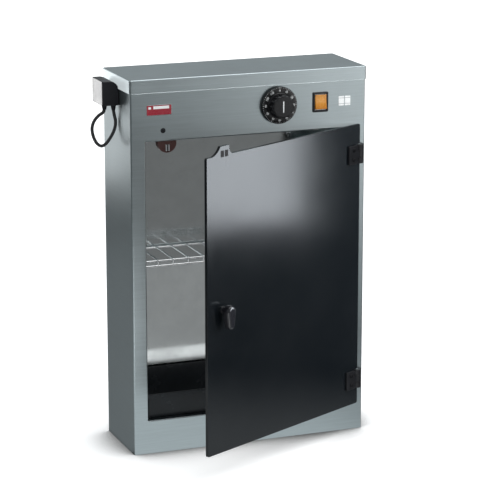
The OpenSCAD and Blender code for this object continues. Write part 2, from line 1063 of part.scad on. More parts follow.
// The half of a hinge that is screwed to the door
module hinge_leaf(z) {
    color(black)
        door_pose()
            difference() {
                union() {
                    translate([axis_x, axis_y, z])
                        cylinder(h = leaf_barrel, r = barrel_r, center = true);
                    translate([axis_x - leaf_start, door_front - leaf_t, z - leaf_barrel / 2])
                        cube([leaf_start, leaf_t, leaf_barrel]);
                    on_door(leaf_screw_x, z)
                        linear_extrude(leaf_t)
                            round_rect(leaf_w, hinge_h, 3);
                }
                translate([axis_x, axis_y, z])
                    cylinder(h = leaf_barrel + cut, r = pin_r + running, center = true);
                for (dz = [-leaf_screw_dz, leaf_screw_dz])
                    on_door(leaf_screw_x, z + dz)
                        cylinder(h = 4 * leaf_t, r = leaf_screw_r + slack, center = true);
            }
}

module leaf_screws() {
    color(steel)
        door_pose()
            for (z = [hinge_upper_z, hinge_lower_z], dz = [-leaf_screw_dz, leaf_screw_dz])
                on_door(leaf_screw_x, z + dz) {
                    translate([0, 0, leaf_t])
                        pan_screw(screw_head_r, screw_head_h, leaf_screw_r, leaf_shank_l);
                    translate([0, 0, -door_t - leaf_nut_h])
                        cylinder(h = leaf_nut_h, r = 3.6, $fn = 6);
                }
}

// The door's outline, seen from the front, with its tab and hinge notches
module door_outline() {
    mid = [(door_left + door_right) / 2, (door_bottom + door_top) / 2];
    difference() {
        union() {
            translate(mid)
                round_rect(door_w, door_top - door_bottom, door_corner_r);
            door_tab();
        }
        for (z = [hinge_upper_z, hinge_lower_z])
            translate([axis_x - barrel_r - 1, z - hinge_h / 2 - 1])
                square([3 * barrel_r, hinge_h + 2]);
    }
}

// The tab over the catch, with a hollow curve down each side
module door_tab() {
    rise = tab_h + tab_dip;
    left_r = (tab_left_run * tab_left_run + rise * rise) / (2 * rise);
    right_r = (tab_right_run * tab_right_run + rise * rise) / (2 * rise);
    difference() {
        translate([tab_left - tab_left_run, door_top - 2 * tab_dip])
            square([tab_right - tab_left + tab_left_run + tab_right_run, tab_h + 2 * tab_dip]);
        translate([tab_left - tab_left_run, door_top - tab_dip + left_r])
            circle(left_r);
        translate([tab_right + tab_right_run, door_top - tab_dip + right_r])
            circle(right_r);
    }
}

module door_panel() {
    color(smoke)
        door_pose()
            difference() {
                translate([0, door_back, 0])
                    rotate([90, 0, 0])
                        linear_extrude(door_t)
                            door_outline();
                for (z = [hinge_upper_z, hinge_lower_z], dz = [-leaf_screw_dz, leaf_screw_dz])
                    on_door(leaf_screw_x, z + dz)
                        cylinder(h = 4 * door_t, r = leaf_screw_r + slack, center = true);
                on_door(knob_x, knob_z)
                    cylinder(h = 4 * door_t, r = knob_screw_r + slack, center = true);
                for (sx = [-1, 1])
                    on_door(magnet_x + sx * (magnet_w + magnet_gap) / 2, magnet_z)
                        cube([magnet_w, magnet_h, 4 * door_t], center = true);
            }
}

// Two magnets set in the tab, which work the safety switch
module door_magnets() {
    color(black)
        door_pose()
            for (sx = [-1, 1])
                on_door(magnet_x + sx * (magnet_w + magnet_gap) / 2, magnet_z)
                    translate([0, 0, -door_t / 2 + 0.2])
                        cube([magnet_w, magnet_h, door_t + 0.4], center = true);
}

// A pull with a round head and a tapered tail
module door_knob() {
    color(black)
        door_pose()
            on_door(knob_x, knob_z)
                difference() {
                    union() {
                        cylinder(h = knob_stem, r = knob_low_r);
                        translate([0, 0, knob_stem])
                            linear_extrude(knob_t)
                                knob_outline();
                    }
                    translate([0, 0, -cut])
                        cylinder(h = knob_stem + knob_thread + cut, r = knob_screw_r);
                }
}

module knob_outline() {
    circle(knob_top_r);
    translate([0, -knob_drop])
        circle(knob_low_r);
    lean = asin((knob_top_r - knob_low_r) / knob_drop);
    polygon([
        [-knob_top_r * cos(lean), -knob_top_r * sin(lean)],
        [-knob_low_r * cos(lean), -knob_drop - knob_low_r * sin(lean)],
        [knob_low_r * cos(lean), -knob_drop - knob_low_r * sin(lean)],
        [knob_top_r * cos(lean), -knob_top_r * sin(lean)]
    ]);
}

module knob_screw() {
    color(steel)
        door_pose()
            on_door(knob_x, knob_z)
                translate([0, 0, -door_t])
                    rotate([180, 0, 0])
                        pan_screw(3.8, 2.2, knob_screw_r, door_t + knob_stem + knob_thread);
}

module strike_plate() {
    color(bright)
        door_pose()
            translate([catch_x - strike_w / 2, door_back, strike_low])
                cube([strike_w, strike_t, strike_h]);
}

casing();
lid();
back_panel();
bottom_pan();
partition();
chamber_floor();
rack_rail(-1);  // rack_rail_left
rack_rail(1);  // rack_rail_right
lid_screws();
back_screws();
badge();
info_labels();
door_sensor();
catch_housing();
catch_poles();
catch_magnet();
uv_lamp_tube();
lamp_caps();
lamp_pins();
lampholder(-1);  // lampholder_left
lampholder(1);  // lampholder_right
starter();
starter_holder();
ballast();
terminal_block();
wiring();
timer_body();
timer_screws();
timer_shaft();
timer_knob();
knob_pointer();
switch_housing();
switch_rocker();
power_box();
power_box_screws();
cord_gland(gland_front);  // cord_gland_front
cord_gland(gland_rear);  // cord_gland_rear
link_cord();
hinge_frame(hinge_upper_z);  // hinge_upper_frame
hinge_frame(hinge_lower_z);  // hinge_lower_frame
hinge_pins();
hinge_fixings();
hinge_leaf(hinge_upper_z);  // hinge_upper_leaf
hinge_leaf(hinge_lower_z);  // hinge_lower_leaf
leaf_screws();
door_panel();
door_knob();
knob_screw();
strike_plate();
door_magnets();
wire_rack();
drip_tray();
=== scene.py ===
"""Looks for the UV sterilizer cabinet: a folded steel casing, a smoked acrylic door, a wire rack,
a drip tray, a timer dial, a lit rocker switch and a supply box with a link cord. Everything is in
metres, in the CAD frame."""

import json
import math

import bmesh
import bpy
from mathutils import Matrix, Vector


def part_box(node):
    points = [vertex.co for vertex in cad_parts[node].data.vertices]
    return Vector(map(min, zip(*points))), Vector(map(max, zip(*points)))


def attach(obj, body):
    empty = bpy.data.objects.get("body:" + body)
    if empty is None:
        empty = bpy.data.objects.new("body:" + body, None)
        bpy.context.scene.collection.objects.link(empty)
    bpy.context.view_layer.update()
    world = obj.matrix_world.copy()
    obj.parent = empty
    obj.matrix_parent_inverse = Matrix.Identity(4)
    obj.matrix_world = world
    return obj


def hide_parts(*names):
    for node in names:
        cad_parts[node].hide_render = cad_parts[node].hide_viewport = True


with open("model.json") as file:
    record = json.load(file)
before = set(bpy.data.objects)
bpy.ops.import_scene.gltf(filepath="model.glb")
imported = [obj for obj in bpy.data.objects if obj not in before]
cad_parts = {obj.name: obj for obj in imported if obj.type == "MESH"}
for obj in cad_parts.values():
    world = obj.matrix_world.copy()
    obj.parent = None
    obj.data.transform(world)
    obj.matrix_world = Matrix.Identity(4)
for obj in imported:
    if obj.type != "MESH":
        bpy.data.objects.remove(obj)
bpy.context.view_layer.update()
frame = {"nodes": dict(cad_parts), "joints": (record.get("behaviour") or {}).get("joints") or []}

# Small lengths are written in millimetres and turned into metres here
MM = 0.001

# Sheet metal
SHEET = 1.2 * MM
CORNER_R = 2.5 * MM
FOLD_R = 2.0 * MM
LID_EDGE_R = 1.8 * MM
OPENING_X = 175 * MM
OPENING_LOW = 55 * MM
OPENING_TOP = 511 * MM
FOLD_DEPTH = 12 * MM
FLANGE = 12 * MM

# Controls
CONTROL_Z = 556 * MM
TIMER_X = 48.5 * MM
SWITCH_X = 120.5 * MM

# Hinges and the door's own sizes
HINGE_Z = {"upper": 469 * MM, "lower": 90 * MM}
HINGE_H = 31 * MM
BARREL_R = 7 * MM
LEAF_BARREL = 12 * MM
LEAF_T = 4 * MM
LEAF_W = 22 * MM
LEAF_AWAY = 19 * MM
LEAF_SCREW_DZ = 8 * MM

# Hinge pin holes, and the room between the knuckles
FRAME_BORE_R = 2.03 * MM
LEAF_BORE_R = 2.05 * MM
KNUCKLE_ROOM = 0.3 * MM

# Rear screws
LID_SCREW_X = (-150 * MM, 0.0, 150 * MM)
BACK_SCREW_X = (-191.8 * MM, 191.8 * MM)
BACK_SCREW_Z = (30 * MM, 210 * MM, 390 * MM, 545 * MM)
SCREW_R = 3.4 * MM
SCREW_H = 2 * MM

# The camera: a long lens at the left, looking a little down; angles in degrees
CAMERA_PLACE = (-1.286, -3.399, 1.211)
CAMERA_DOWN = 13.97
CAMERA_TURN = -21.11
CAMERA_LENS = 165

# The studio's walls: their strength low and high, and between which heights they change
WALL_LOW, WALL_HIGH = 0.08, 0.42
WALL_CHANGE = (-0.22, 0.08)

# Cards on the floor that only the steel mirrors: two corners, the strength near and far, and
# between which X they fade out
CARDS = {
    "card_near": ((-0.80, -0.75), (0.55, -0.069), (0.80, 0.08), (0.55, 0.05)),
    "card_away": ((-0.80, -2.2), (1.2, -0.75), (0.80, 0.08), (1.3, 0.5)),
    "card_left": ((-1.3, -0.05), (-0.201, 1.3), (0.26, 0.26), (0.55, 0.05)),
    "card_rear": ((-0.15, 0.08), (2.4, 2.4), (0.50, 0.50), (9, 8)),
}
CARD_FADE_Y = (-1.7, -0.35)

# Soft lights: place, aim, size, power and, where it isn't white, colour
FROM_RIGHT = ((0.92, -1.25, 0.40), (0.2, -0.07, 0.45), (0.72, 0.75), 2.6)
LIGHTS = {
    "overhead": ((0.9, -0.7, 3.2), (0, 0, 0), (3.2, 3.2), 75),
    "right_front": FROM_RIGHT,
    "right_parts": FROM_RIGHT,
    "left_front": ((-0.22, -0.55, 0.09), (-0.19, -0.07, 0.15), (0.20, 0.24), 0.30),
    "back_left": ((-0.62, 0.95, 0.54), (-0.2, 0.0, 0.5), (0.7, 0.66), 1.75),
    "upper_fill": ((0.0, -0.045, 0.375), (0.0, 0.06, 0.375), (0.31, 0.25), 0.050),
    "lower_fill": ((0.0, -0.045, 0.175), (0.0, 0.06, 0.175), (0.31, 0.15), 0.052),
    "low_glint": ((0.0, -0.045, 0.087), (0.0, 0.06, 0.087), (0.31, 0.022), 0.022),
    "door_key": ((0.86, -0.63, 0.53), (0.0, -0.16, 0.5), (0.66, 0.76), 17.0, (0.88, 0.94, 1.0)),
    "box_side": ((-0.62, 0.95, 0.54), (-0.2, 0.0, 0.58), (0.7, 0.66), 5.5),
    "lid_side": ((-0.62, 0.95, 0.36), (-0.2, 0.0, 0.6), (0.7, 0.36), 1.3),
    "hem_glint": ((0.15, -0.45, 0.05), (0.0, -0.07, 0.59), (0.6, 0.3), 5.5),
}

# The only pieces that some lights fall on, and the only pieces that shade some lights
SHELLS = ["casing_shell", "lid_shell"]
LIT = {
    "right_front": SHELLS,
    "door_key": ["door_sheet", "door_pull"],
    "box_side": ["supply_box_shell"],
    "lid_side": ["lid_shell"],
    "hem_glint": ["lid_shell"],
}
SHADED_BY = {
    "right_front": [*SHELLS, "timer_knob_body", "supply_box_shell"],
    "lid_side": ["casing_shell"],
    "hem_glint": ["lid_shell"],
}

# The cord's route from the front gland to the rear one, and its radius
CORD_R = 2.6 * MM
CORD_ROUTE = [
    (-206, -4, 553.98), (-204.8, -4, 546), (-202.9, -4, 537), (-203.2, -3.8, 528), (-206.3, -3, 518),
    (-211.5, -2, 508.5), (-218, -1, 500), (-225, 0, 496.4), (-231.5, 0.8, 500), (-236.3, 1.5, 508),
    (-239.2, 2, 518), (-239.3, 2.2, 528), (-235.5, 2.2, 537.5), (-228.5, 2.1, 545), (-221.6, 2, 549.4),
    (-219, 2, 553.98),
]


# ---------------------------------------------------------------- placing

def joint(name):
    """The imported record's row for a joint."""
    return next(row for row in frame["joints"] if row["name"] == name)


def turn_about(point, angle):
    """A turn about the vertical line through a point."""
    shift = Matrix.Translation(Vector((point.x, point.y, 0)))
    return shift @ Matrix.Rotation(angle, 4, "Z") @ shift.inverted()


HINGE = Vector(joint("door_hinge")["pos_m"])
DOOR_ANGLE = -math.radians(joint("door_hinge")["range_deg"][0])
DOOR_POSE = turn_about(HINGE, DOOR_ANGLE)


def shut_box(node):
    """Lowest and highest corner of a node of the door, as it is with the door shut."""
    back = DOOR_POSE.inverted()
    points = [back @ v.co for v in frame["nodes"][node].data.vertices]
    low = Vector([min(p[i] for p in points) for i in range(3)])
    high = Vector([max(p[i] for p in points) for i in range(3)])
    return low, high


def on_front(x, z, y=None):
    """Puts (across, up, out) on the casing's front."""
    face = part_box("casing")[0].y if y is None else y
    return lambda u, v, h: Vector((x + u, face - h, z + v))


def on_rear(x, z):
    """Puts (across, up, out) on the casing's rear."""
    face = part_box("casing")[1].y
    return lambda u, v, h: Vector((x - u, face + h, z + v))


def on_plan(x, y):
    """Puts (across, back, up) on a level place."""
    return lambda u, v, h: Vector((x + u, y + v, h))


# ---------------------------------------------------------------- outlines

def arc(x, y, r, start, end, steps):
    """Points on an arc, angles in degrees."""
    span = end - start
    angles = [math.radians(start + span * i / steps) for i in range(steps + 1)]
    return [Vector((x + r * math.cos(a), y + r * math.sin(a))) for a in angles]


def round_rect(w, h, r, steps=6):
    """A rectangle with round corners, about the origin, counter-clockwise."""
    x, y = w / 2 - r, h / 2 - r
    places = [(x, y, 0), (-x, y, 90), (-x, -y, 180), (x, -y, 270)]
    return [p for px, py, a in places for p in arc(px, py, r, a, a + 90, steps)]


def circle(r, steps=48):
    """A circle about the origin."""
    return arc(0, 0, r, 0, 360, steps)[:-1]


def fillet(points, r, steps=4):
    """The same polygon with each corner rounded; r is one radius or one for each corner."""
    radii = r if isinstance(r, (list, tuple)) else [r] * len(points)
    corners = [Vector(p) for p in points]
    count = len(corners)
    made = []
    for i, radius in enumerate(radii):
        before, here, after = corners[i - 1], corners[i], corners[(i + 1) % count]
        a = (before - here).normalized()
        b = (after - here).normalized()
        half = a.angle(b) / 2
        if radius <= 0 or half > math.radians(89.9):
            made.append(here)
            continue
        run = radius / math.tan(half)
        centre = here + (a + b).normalized() * (radius / math.sin(half))
        start = here + a * run - centre
        end = here + b * run - centre
        sweep = start.angle_signed(end)
        for k in range(steps + 1):
            made.append(centre + Matrix.Rotation(-sweep * k / steps, 2) @ start)
    return made


def inset(points, d):
    """The outline moved inwards by d; the outline runs counter-clockwise."""
    count = len(points)
    moved = []
    for i in range(count):
        a = points[i] - points[i - 1]
        b = points[(i + 1) % count] - points[i]
        if a.length < 1e-9:
            a = b
        if b.length < 1e-9:
            b = a
        n1 = Vector((-a.y, a.x)).normalized()
        n2 = Vector((-b.y, b.x)).normalized()
        moved.append(points[i] + (n1 + n2) * (d / max(0.3, 1 + n1.dot(n2))))
    return moved


def quarter(edge, steps):
    """How far in and how far up each point of a quarter-round edge lies."""
    turns = [math.pi / 2 * k / steps for k in range(steps + 1)]
    return [(edge * (1 - math.sin(a)), edge * (1 - math.cos(a))) for a in turns]


def in_metres(pairs):
    """Pairs of millimetres as pairs of metres."""
    return [(a * MM, b * MM) for a, b in pairs]


# ---------------------------------------------------------------- meshes

def link_new(name, data):
    """A new object in the scene."""
    obj = bpy.data.objects.new(name, data)
    bpy.context.scene.collection.objects.link(obj)
    return obj


def to_mesh(bm, name):
    """A mesh made from a bmesh, which is used up."""
    mesh = bpy.data.meshes.new(name)
    bm.to_mesh(mesh)
    bm.free()
    return mesh


def stacked(at, outline, levels):
    """Rings of an outline; each level is how far in and how far out it lies."""
    return [[at(p.x, p.y, h) for p in inset(outline, d)] for d, h in levels]


def loft(bm, rings, first=True, last=True):
    """Joins closed rings of points into a skin, with a face at either end."""
    loops = [[bm.verts.new(p) for p in ring] for ring in rings]
    count = len(loops[0])
    for low, high in zip(loops, loops[1:]):
        for i in range(count):
            j = (i + 1) % count
            bm.faces.new((low[i], low[j], high[j], high[i]))
    if first:
        bm.faces.new(loops[0][::-1])
    if last:
        bm.faces.new(loops[-1])
    return loops


def plate(bm, outline, at, low, high, edge=0.4 * MM, steps=3):
    """An outline thickened from low to high, with its rims rounded."""
    curve = quarter(edge, steps)
    levels = [(d, low + h) for d, h in curve] + [(d, high - h) for d, h in reversed(curve)]
    loft(bm, stacked(at, outline, levels))


def lathe(bm, profile, at, steps=48):
    """A turned shape; the profile is (radius, height) pairs."""
    loft(bm, [[at(p.x, p.y, h) for p in circle(r, steps)] for r, h in profile])


def block(bm, low, high, edge=0.5 * MM):
    """A box with rounded edges, standing along Z."""
    size = Vector(high) - Vector(low)
    middle = (Vector(high) + Vector(low)) / 2
    outline = round_rect(size.x, size.y, edge * 1.01, 4)
    plate(bm, outline, on_plan(middle.x, middle.y), low[2], high[2], edge)


def as_object(bm):
    """A bare object that holds a bmesh, a thousand times as large, for cutting."""
    bmesh.ops.recalc_face_normals(bm, faces=bm.faces)
    bmesh.ops.scale(bm, vec=(1 / MM, 1 / MM, 1 / MM), verts=bm.verts)
    return link_new("cutting", to_mesh(bm, "cutting"))


def combined(first, added=(), removed=()):
    """One bmesh from others: the first with the added ones joined on and the removed ones cut away."""
    main = as_object(first)
    tools = []
    for bm, operation in [(b, "UNION") for b in added] + [(b, "DIFFERENCE") for b in removed]:
        tool = as_object(bm)
        tools.append(tool)
        step = main.modifiers.new("step", "BOOLEAN")
        step.operation = operation
        step.solver = "MANIFOLD"
        step.object = tool
    bpy.context.view_layer.update()
    result = main.evaluated_get(bpy.context.evaluated_depsgraph_get())
    made = bmesh.new()
    made.from_mesh(result.to_mesh())
    bmesh.ops.scale(made, vec=(MM, MM, MM), verts=made.verts)
    for obj in [main, *tools]:
        bpy.data.objects.remove(obj)
    return made


def piece(name, bm, material, body, replaced=(), sharp=32.0, pose=None, solid=0.0):
    """Turns a bmesh into a shaded piece that rides on a body."""
    if pose is not None:
        bmesh.ops.transform(bm, matrix=pose, verts=bm.verts)
    if not solid:
        bmesh.ops.recalc_face_normals(bm, faces=bm.faces)
    limit = math.radians(sharp)
    for edge in bm.edges:
        edge.smooth = len(edge.link_faces) == 2 and edge.calc_face_angle(0.0) < limit
    for face in bm.faces:
        face.smooth = True
    add_grain(bm)
    obj = link_new(name, to_mesh(bm, name))
    obj.data.materials.append(material)
    if solid:
        thick = obj.modifiers.new("thickness", "SOLIDIFY")
        thick.thickness = solid
        thick.offset = -1
        thick.use_even_offset = True
    weights = obj.modifiers.new("face_weights", "WEIGHTED_NORMAL")
    weights.keep_sharp = True
    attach(obj, body)
    if replaced:
        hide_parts(*replaced)
    return obj


def add_grain(bm):
    """Lays out each face flat, with the first axis along the level direction, for the run of the grain."""
    layer = bm.loops.layers.uv.new("grain")
    for face in bm.faces:
        n = face.normal
        sideways = abs(n.x) > abs(n.y) and abs(n.x) > abs(n.z)
        level = abs(n.z) > abs(n.x) and abs(n.z) > abs(n.y)
        for loop in face.loops:
            p = loop.vert.co
            loop[layer].uv = (p.y if sideways else p.x, p.y if level else p.z)


# ---------------------------------------------------------------- materials

class Shader:
    """One material and short ways to add nodes to it."""

    def __init__(self, name, **values):
        self.material = bpy.data.materials.new(name)
        self.material.use_nodes = True
        self.tree = self.material.node_tree
        self.bsdf = self.tree.nodes["Principled BSDF"]
        for key, value in values.items():
            self.bsdf.inputs[key.replace("_", " ")].default_value = value

    def node(self, kind, **inputs):
        """A node whose inputs are linked to sockets or set to values."""
        made = self.tree.nodes.new(kind)
        for key, value in inputs.items():
            socket = made.inputs[key.replace("_", " ")]
            if isinstance(value, bpy.types.NodeSocket):
                self.tree.links.new(value, socket)
            else:
                socket.default_value = value
        return made

    def place(self, scale=(1, 1, 1), shift=(0, 0, 0)):
        """The object's own coordinates, stretched."""
        coords = self.node("ShaderNodeTexCoord").outputs["Object"]
        return self.node("ShaderNodeMapping", Vector=coords, Scale=scale, Location=shift).outputs[0]

    def noise(self, scale, stretch=(1, 1, 1), detail=3.0, roughness=0.5):
        """Noise over the stretched coordinates."""
        where = self.place(stretch)
        made = self.node("ShaderNodeTexNoise", Vector=where, Scale=scale, Detail=detail, Roughness=roughness)
        return made.outputs["Fac"]

    def span(self, value, low, high, start=0.25, end=0.75):
        """The value, from start to end, mapped from low to high."""
        made = self.node("ShaderNodeMapRange", Value=value)
        made.interpolation_type = "SMOOTHSTEP"
        made.inputs["From Min"].default_value = start
        made.inputs["From Max"].default_value = end
        made.inputs["To Min"].default_value = low
        made.inputs["To Max"].default_value = high
        return made.outputs["Result"]

    def mix(self, factor, a, b):
        """A colour between a and b."""
        made = self.tree.nodes.new("ShaderNodeMix")
        made.data_type = "RGBA"
        for index, value in ((0, factor), (6, a), (7, b)):
            if isinstance(value, bpy.types.NodeSocket):
                self.tree.links.new(value, made.inputs[index])
            elif index == 0:
                made.inputs[index].default_value = value
            else:
                made.inputs[index].default_value = (*value[:3], 1)
        return made.outputs[2]

    def add(self, a, b, operation="ADD"):
        """Two values added, or joined by another operation."""
        made = self.tree.nodes.new("ShaderNodeMath")
        made.operation = operation
        for socket, value in zip(made.inputs, (a, b)):
            if isinstance(value, bpy.types.NodeSocket):
                self.tree.links.new(value, socket)
            else:
                socket.default_value = value
        return made.outputs[0]

    def bump(self, height, distance, strength=1.0):
        """Relief from a height."""
        made = self.node("ShaderNodeBump", Height=height, Distance=distance, Strength=strength)
        self.tree.links.new(made.outputs["Normal"], self.bsdf.inputs["Normal"])

    def set(self, name, value):
        """Links a socket to an input of the surface."""
        self.tree.links.new(value, self.bsdf.inputs[name])


def brushed_steel(name, colour, rough):
    """Satin sheet: fine level lines, with faint cloudiness in its shine."""
    shader = Shader(name, Metallic=1.0, Anisotropic=0.55)
    level = (0.012, 0.012, 1.0)
    fine = shader.noise(2600, level, detail=2.0)
    broad = shader.noise(420, level)
    cloud = shader.noise(7, detail=4.0, roughness=0.6)
    lines = shader.add(shader.add(fine, 0.6, "MULTIPLY"), shader.add(broad, 0.4, "MULTIPLY"))
    dark = [c * 0.93 for c in colour]
    light = [min(1.0, c * 1.05) for c in colour]
    shader.set("Base Color", shader.mix(shader.span(lines, 0, 1, 0.35, 0.65), dark, light))
    streaks = shader.span(lines, -0.035, 0.035, 0.3, 0.7)
    shader.set("Roughness", shader.add(streaks, shader.span(cloud, rough - 0.02, rough + 0.03)))
    shader.bump(lines, 0.006 * MM, 0.6)
    tangent = shader.tree.nodes.new("ShaderNodeTangent")
    tangent.direction_type = "UV_MAP"
    tangent.uv_map = "grain"
    shader.set("Tangent", tangent.outputs[0])
    return shader.material


def sheet_metal(name, colour, rough):
    """Bright annealed or zinc-plated sheet, with faint rolling lines and blotches."""
    shader = Shader(name, Metallic=1.0)
    rolling = shader.noise(900, (0.02, 1, 1), 2.0)
    blotch = shader.noise(28, detail=4.0, roughness=0.65)
    dark = [c * 0.92 for c in colour]
    shader.set("Base Color", shader.mix(shader.span(blotch, 0, 1, 0.3, 0.7), colour, dark))
    shine = shader.add(shader.span(rolling, -0.02, 0.02), shader.span(blotch, rough - 0.02, rough + 0.05))
    shader.set("Roughness", shine)
    shader.bump(rolling, 0.004 * MM, 0.4)
    return shader.material


def moulding(name, colour, rough, grain=900, depth=0.02, specular=0.5, wear=1.25):
    """Moulded plastic with a fine texture and a little unevenness."""
    shader = Shader(name, Specular_IOR_Level=specular)
    spark = shader.noise(grain, detail=2.0)
    cloud = shader.noise(35, detail=4.0, roughness=0.6)
    light = [min(1.0, c * wear + 0.002) for c in colour]
    shader.set("Base Color", shader.mix(shader.span(cloud, 0, 1, 0.35, 0.75), colour, light))
    sparkle = shader.span(spark, -0.04, 0.04)
    shader.set("Roughness", shader.add(sparkle, shader.span(cloud, rough, rough + 0.07)))
    shader.bump(spark, depth * MM, 0.5)
    return shader.material


def turned_metal(name, colour, rough):
    """Bright small parts, such as screws, pins and chromed wire."""
    shader = Shader(name, Metallic=1.0)
    pits = shader.noise(1500)
    cloud = shader.noise(60)
    shader.set("Base Color", shader.mix(shader.span(cloud, 0, 1), colour, [c * 0.82 for c in colour]))
    wear = shader.span(pits, -0.02, 0.03)
    shader.set("Roughness", shader.add(wear, shader.span(cloud, rough, rough + 0.06)))
    shader.bump(pits, 0.004 * MM, 0.4)
    return shader.material


def smoked_acrylic():
    """Polished dark sheet that lets a little light through."""
    shader = Shader("smoked_acrylic", Alpha=0.98, Specular_IOR_Level=0.30)
    dust = shader.noise(2400, detail=2.0)
    cloud = shader.noise(9, detail=4.0, roughness=0.6)
    wave = shader.noise(14, detail=1.0)
    dark, light = (0.0025, 0.0035, 0.0045), (0.004, 0.005, 0.006)
    shader.set("Base Color", shader.mix(shader.span(cloud, 0, 1), dark, light))
    specks = shader.span(dust, 0.0, 0.02, 0.55, 0.8)
    shader.set("Roughness", shader.add(shader.span(cloud, 0.13, 0.165), specks))
    shader.bump(wave, 0.05 * MM, 0.25)
    return shader.material


def enamel(name, colour, rough):
    """Baked enamel with faint orange peel."""
    shader = Shader(name, Coat_Weight=0.08, Specular_IOR_Level=0.22)
    peel = shader.noise(260, detail=2.0)
    cloud = shader.noise(24, detail=4.0)
    shader.set("Base Color", shader.mix(shader.span(cloud, 0, 1), colour, [c * 1.5 for c in colour]))
    shader.set("Roughness", shader.span(cloud, rough, rough + 0.08))
    shader.bump(peel, 0.03 * MM, 0.5)
    return shader.material


def amber_lens():
    """A translucent lens, lit from behind its middle."""
    shader = Shader("amber_lens", Subsurface_Weight=0.2, Coat_Weight=0.15, Coat_Roughness=0.08)
    shader.bsdf.inputs["Subsurface Radius"].default_value = (4 * MM, 2 * MM, 0.5 * MM)
    pivot = Vector(joint("rocker_tilt")["pos_m"])
    reach = 16 * MM
    bulb = pivot + Vector((0, 0, 3 * MM))
    where = shader.place([1 / reach] * 3, -bulb / reach)
    glow = shader.node("ShaderNodeTexGradient", Vector=where)
    glow.gradient_type = "SPHERICAL"
    ribs = shader.node("ShaderNodeTexWave", Vector=shader.place(), Scale=260.0, Distortion=0.0)
    ribs.bands_direction = "Z"
    colour = shader.mix(glow.outputs["Fac"], (0.45, 0.16, 0.010), (0.60, 0.27, 0.025))
    shader.set("Base Color", colour)
    shader.set("Emission Color", shader.mix(glow.outputs["Fac"], (0.75, 0.24, 0.008), (1.0, 0.50, 0.07)))
    shader.set("Emission Strength", shader.span(glow.outputs["Fac"], 0.015, 0.07, 0.0, 0.9))
    shader.set("Roughness", shader.span(shader.noise(400), 0.22, 0.32))
    shader.bump(ribs.outputs["Fac"], 0.03 * MM, 0.35)
    return shader.material


def lamp_glass():
    """Clear quartz with a faint cool tint."""
    shader = Shader("lamp_glass", Transmission_Weight=1.0, IOR=1.46)
    haze = shader.noise(120, (0.2, 1, 1), 3.0)
    shader.set("Base Color", shader.mix(shader.span(haze, 0, 1), (0.92, 0.96, 1.0), (0.80, 0.87, 0.97)))
    shader.set("Roughness", shader.span(haze, 0.03, 0.09))
    return shader.material


def badge_enamel():
    """Red enamel with a white bar and a white square along its top, by place on the badge."""
    shader = Shader("badge_enamel", Coat_Weight=0.8, Coat_Roughness=0.05)
    low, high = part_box("badge")
    where = shader.node("ShaderNodeSeparateXYZ", Vector=shader.place())
    across = shader.add(shader.add(where.outputs["X"], low.x, "SUBTRACT"), high.x - low.x, "DIVIDE")
    up = shader.add(shader.add(where.outputs["Z"], low.z, "SUBTRACT"), high.z - low.z, "DIVIDE")
    speck = shader.noise(700)
    red = shader.mix(shader.span(speck, 0, 1), (0.26, 0.016, 0.030), (0.32, 0.024, 0.038))
    edge = 0.01
    patches = []
    for left, right, bottom, top in ((0.27, 0.90, 0.60, 0.88), (0.08, 0.19, 0.60, 0.82)):
        sides = shader.add(shader.span(across, 0, 1, left, left + edge),
                           shader.span(across, 1, 0, right - edge, right), "MULTIPLY")
        ends = shader.add(shader.span(up, 0, 1, bottom, bottom + edge),
                          shader.span(up, 1, 0, top - edge, top), "MULTIPLY")
        patches.append(shader.add(sides, ends, "MULTIPLY"))
    white = shader.add(patches[0], patches[1])
    shader.set("Base Color", shader.mix(white, red, (0.80, 0.80, 0.80)))
    shader.set("Roughness", shader.span(speck, 0.22, 0.30))
    return shader.material


def label_film():
    """White film with a fine grey rule near each end and a soft sheen."""
    shader = Shader("label_film")
    low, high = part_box("info_labels")
    up = shader.node("ShaderNodeSeparateXYZ", Vector=shader.place()).outputs["Z"]
    share = shader.add(shader.add(up, low.z, "SUBTRACT"), high.z - low.z, "DIVIDE")
    far = shader.add(shader.add(share, 0.5, "SUBTRACT"), 0.0, "ABSOLUTE")
    rule = shader.span(shader.add(shader.add(far, 0.30, "SUBTRACT"), 0.0, "ABSOLUTE"), 1, 0, 0.015, 0.03)
    fibre = shader.noise(900)
    film = shader.mix(shader.span(fibre, 0, 1), (0.86, 0.87, 0.86), (0.78, 0.79, 0.79))
    shader.set("Base Color", shader.mix(rule, film, (0.28, 0.30, 0.32)))
    shader.set("Roughness", shader.span(fibre, 0.38, 0.5))
    return shader.material


STEEL = brushed_steel("steel_front", (0.43, 0.485, 0.50), 0.35)
STEEL_LID = brushed_steel("steel_lid", (0.44, 0.495, 0.51), 0.34)
STEEL_BACK = sheet_metal("steel_back", (0.62, 0.66, 0.665), 0.12)
STEEL_INNER = sheet_metal("steel_inner", (0.52, 0.56, 0.57), 0.26)
ZINC = sheet_metal("zinc_plate", (0.62, 0.64, 0.64), 0.30)
SCREW_STEEL = turned_metal("screw_steel", (0.66, 0.67, 0.68), 0.24)
POLE_STEEL = turned_metal("pole_steel", (0.86, 0.87, 0.88), 0.5)
SCREW_BLACK = turned_metal("screw_black", (0.035, 0.035, 0.038), 0.32)
CHROME = turned_metal("chromed_wire", (0.80, 0.82, 0.83), 0.12)
BLACK = moulding("black_moulding", (0.007, 0.007, 0.009), 0.32, specular=0.42)
BLACK_GLOSS = moulding("black_gloss", (0.006, 0.006, 0.008), 0.11, grain=1600, depth=0.004)
DIAL_BLACK = moulding("dial_black", (0.004, 0.004, 0.005), 0.20, grain=1400, depth=0.006, specular=0.42)
TRAY_BLACK = enamel("tray_enamel", (0.010, 0.012, 0.014), 0.22)
ACRYLIC = smoked_acrylic()
AMBER = amber_lens()
WHITE_PRINT = moulding("white_print", (0.78, 0.79, 0.79), 0.45, wear=1.05)
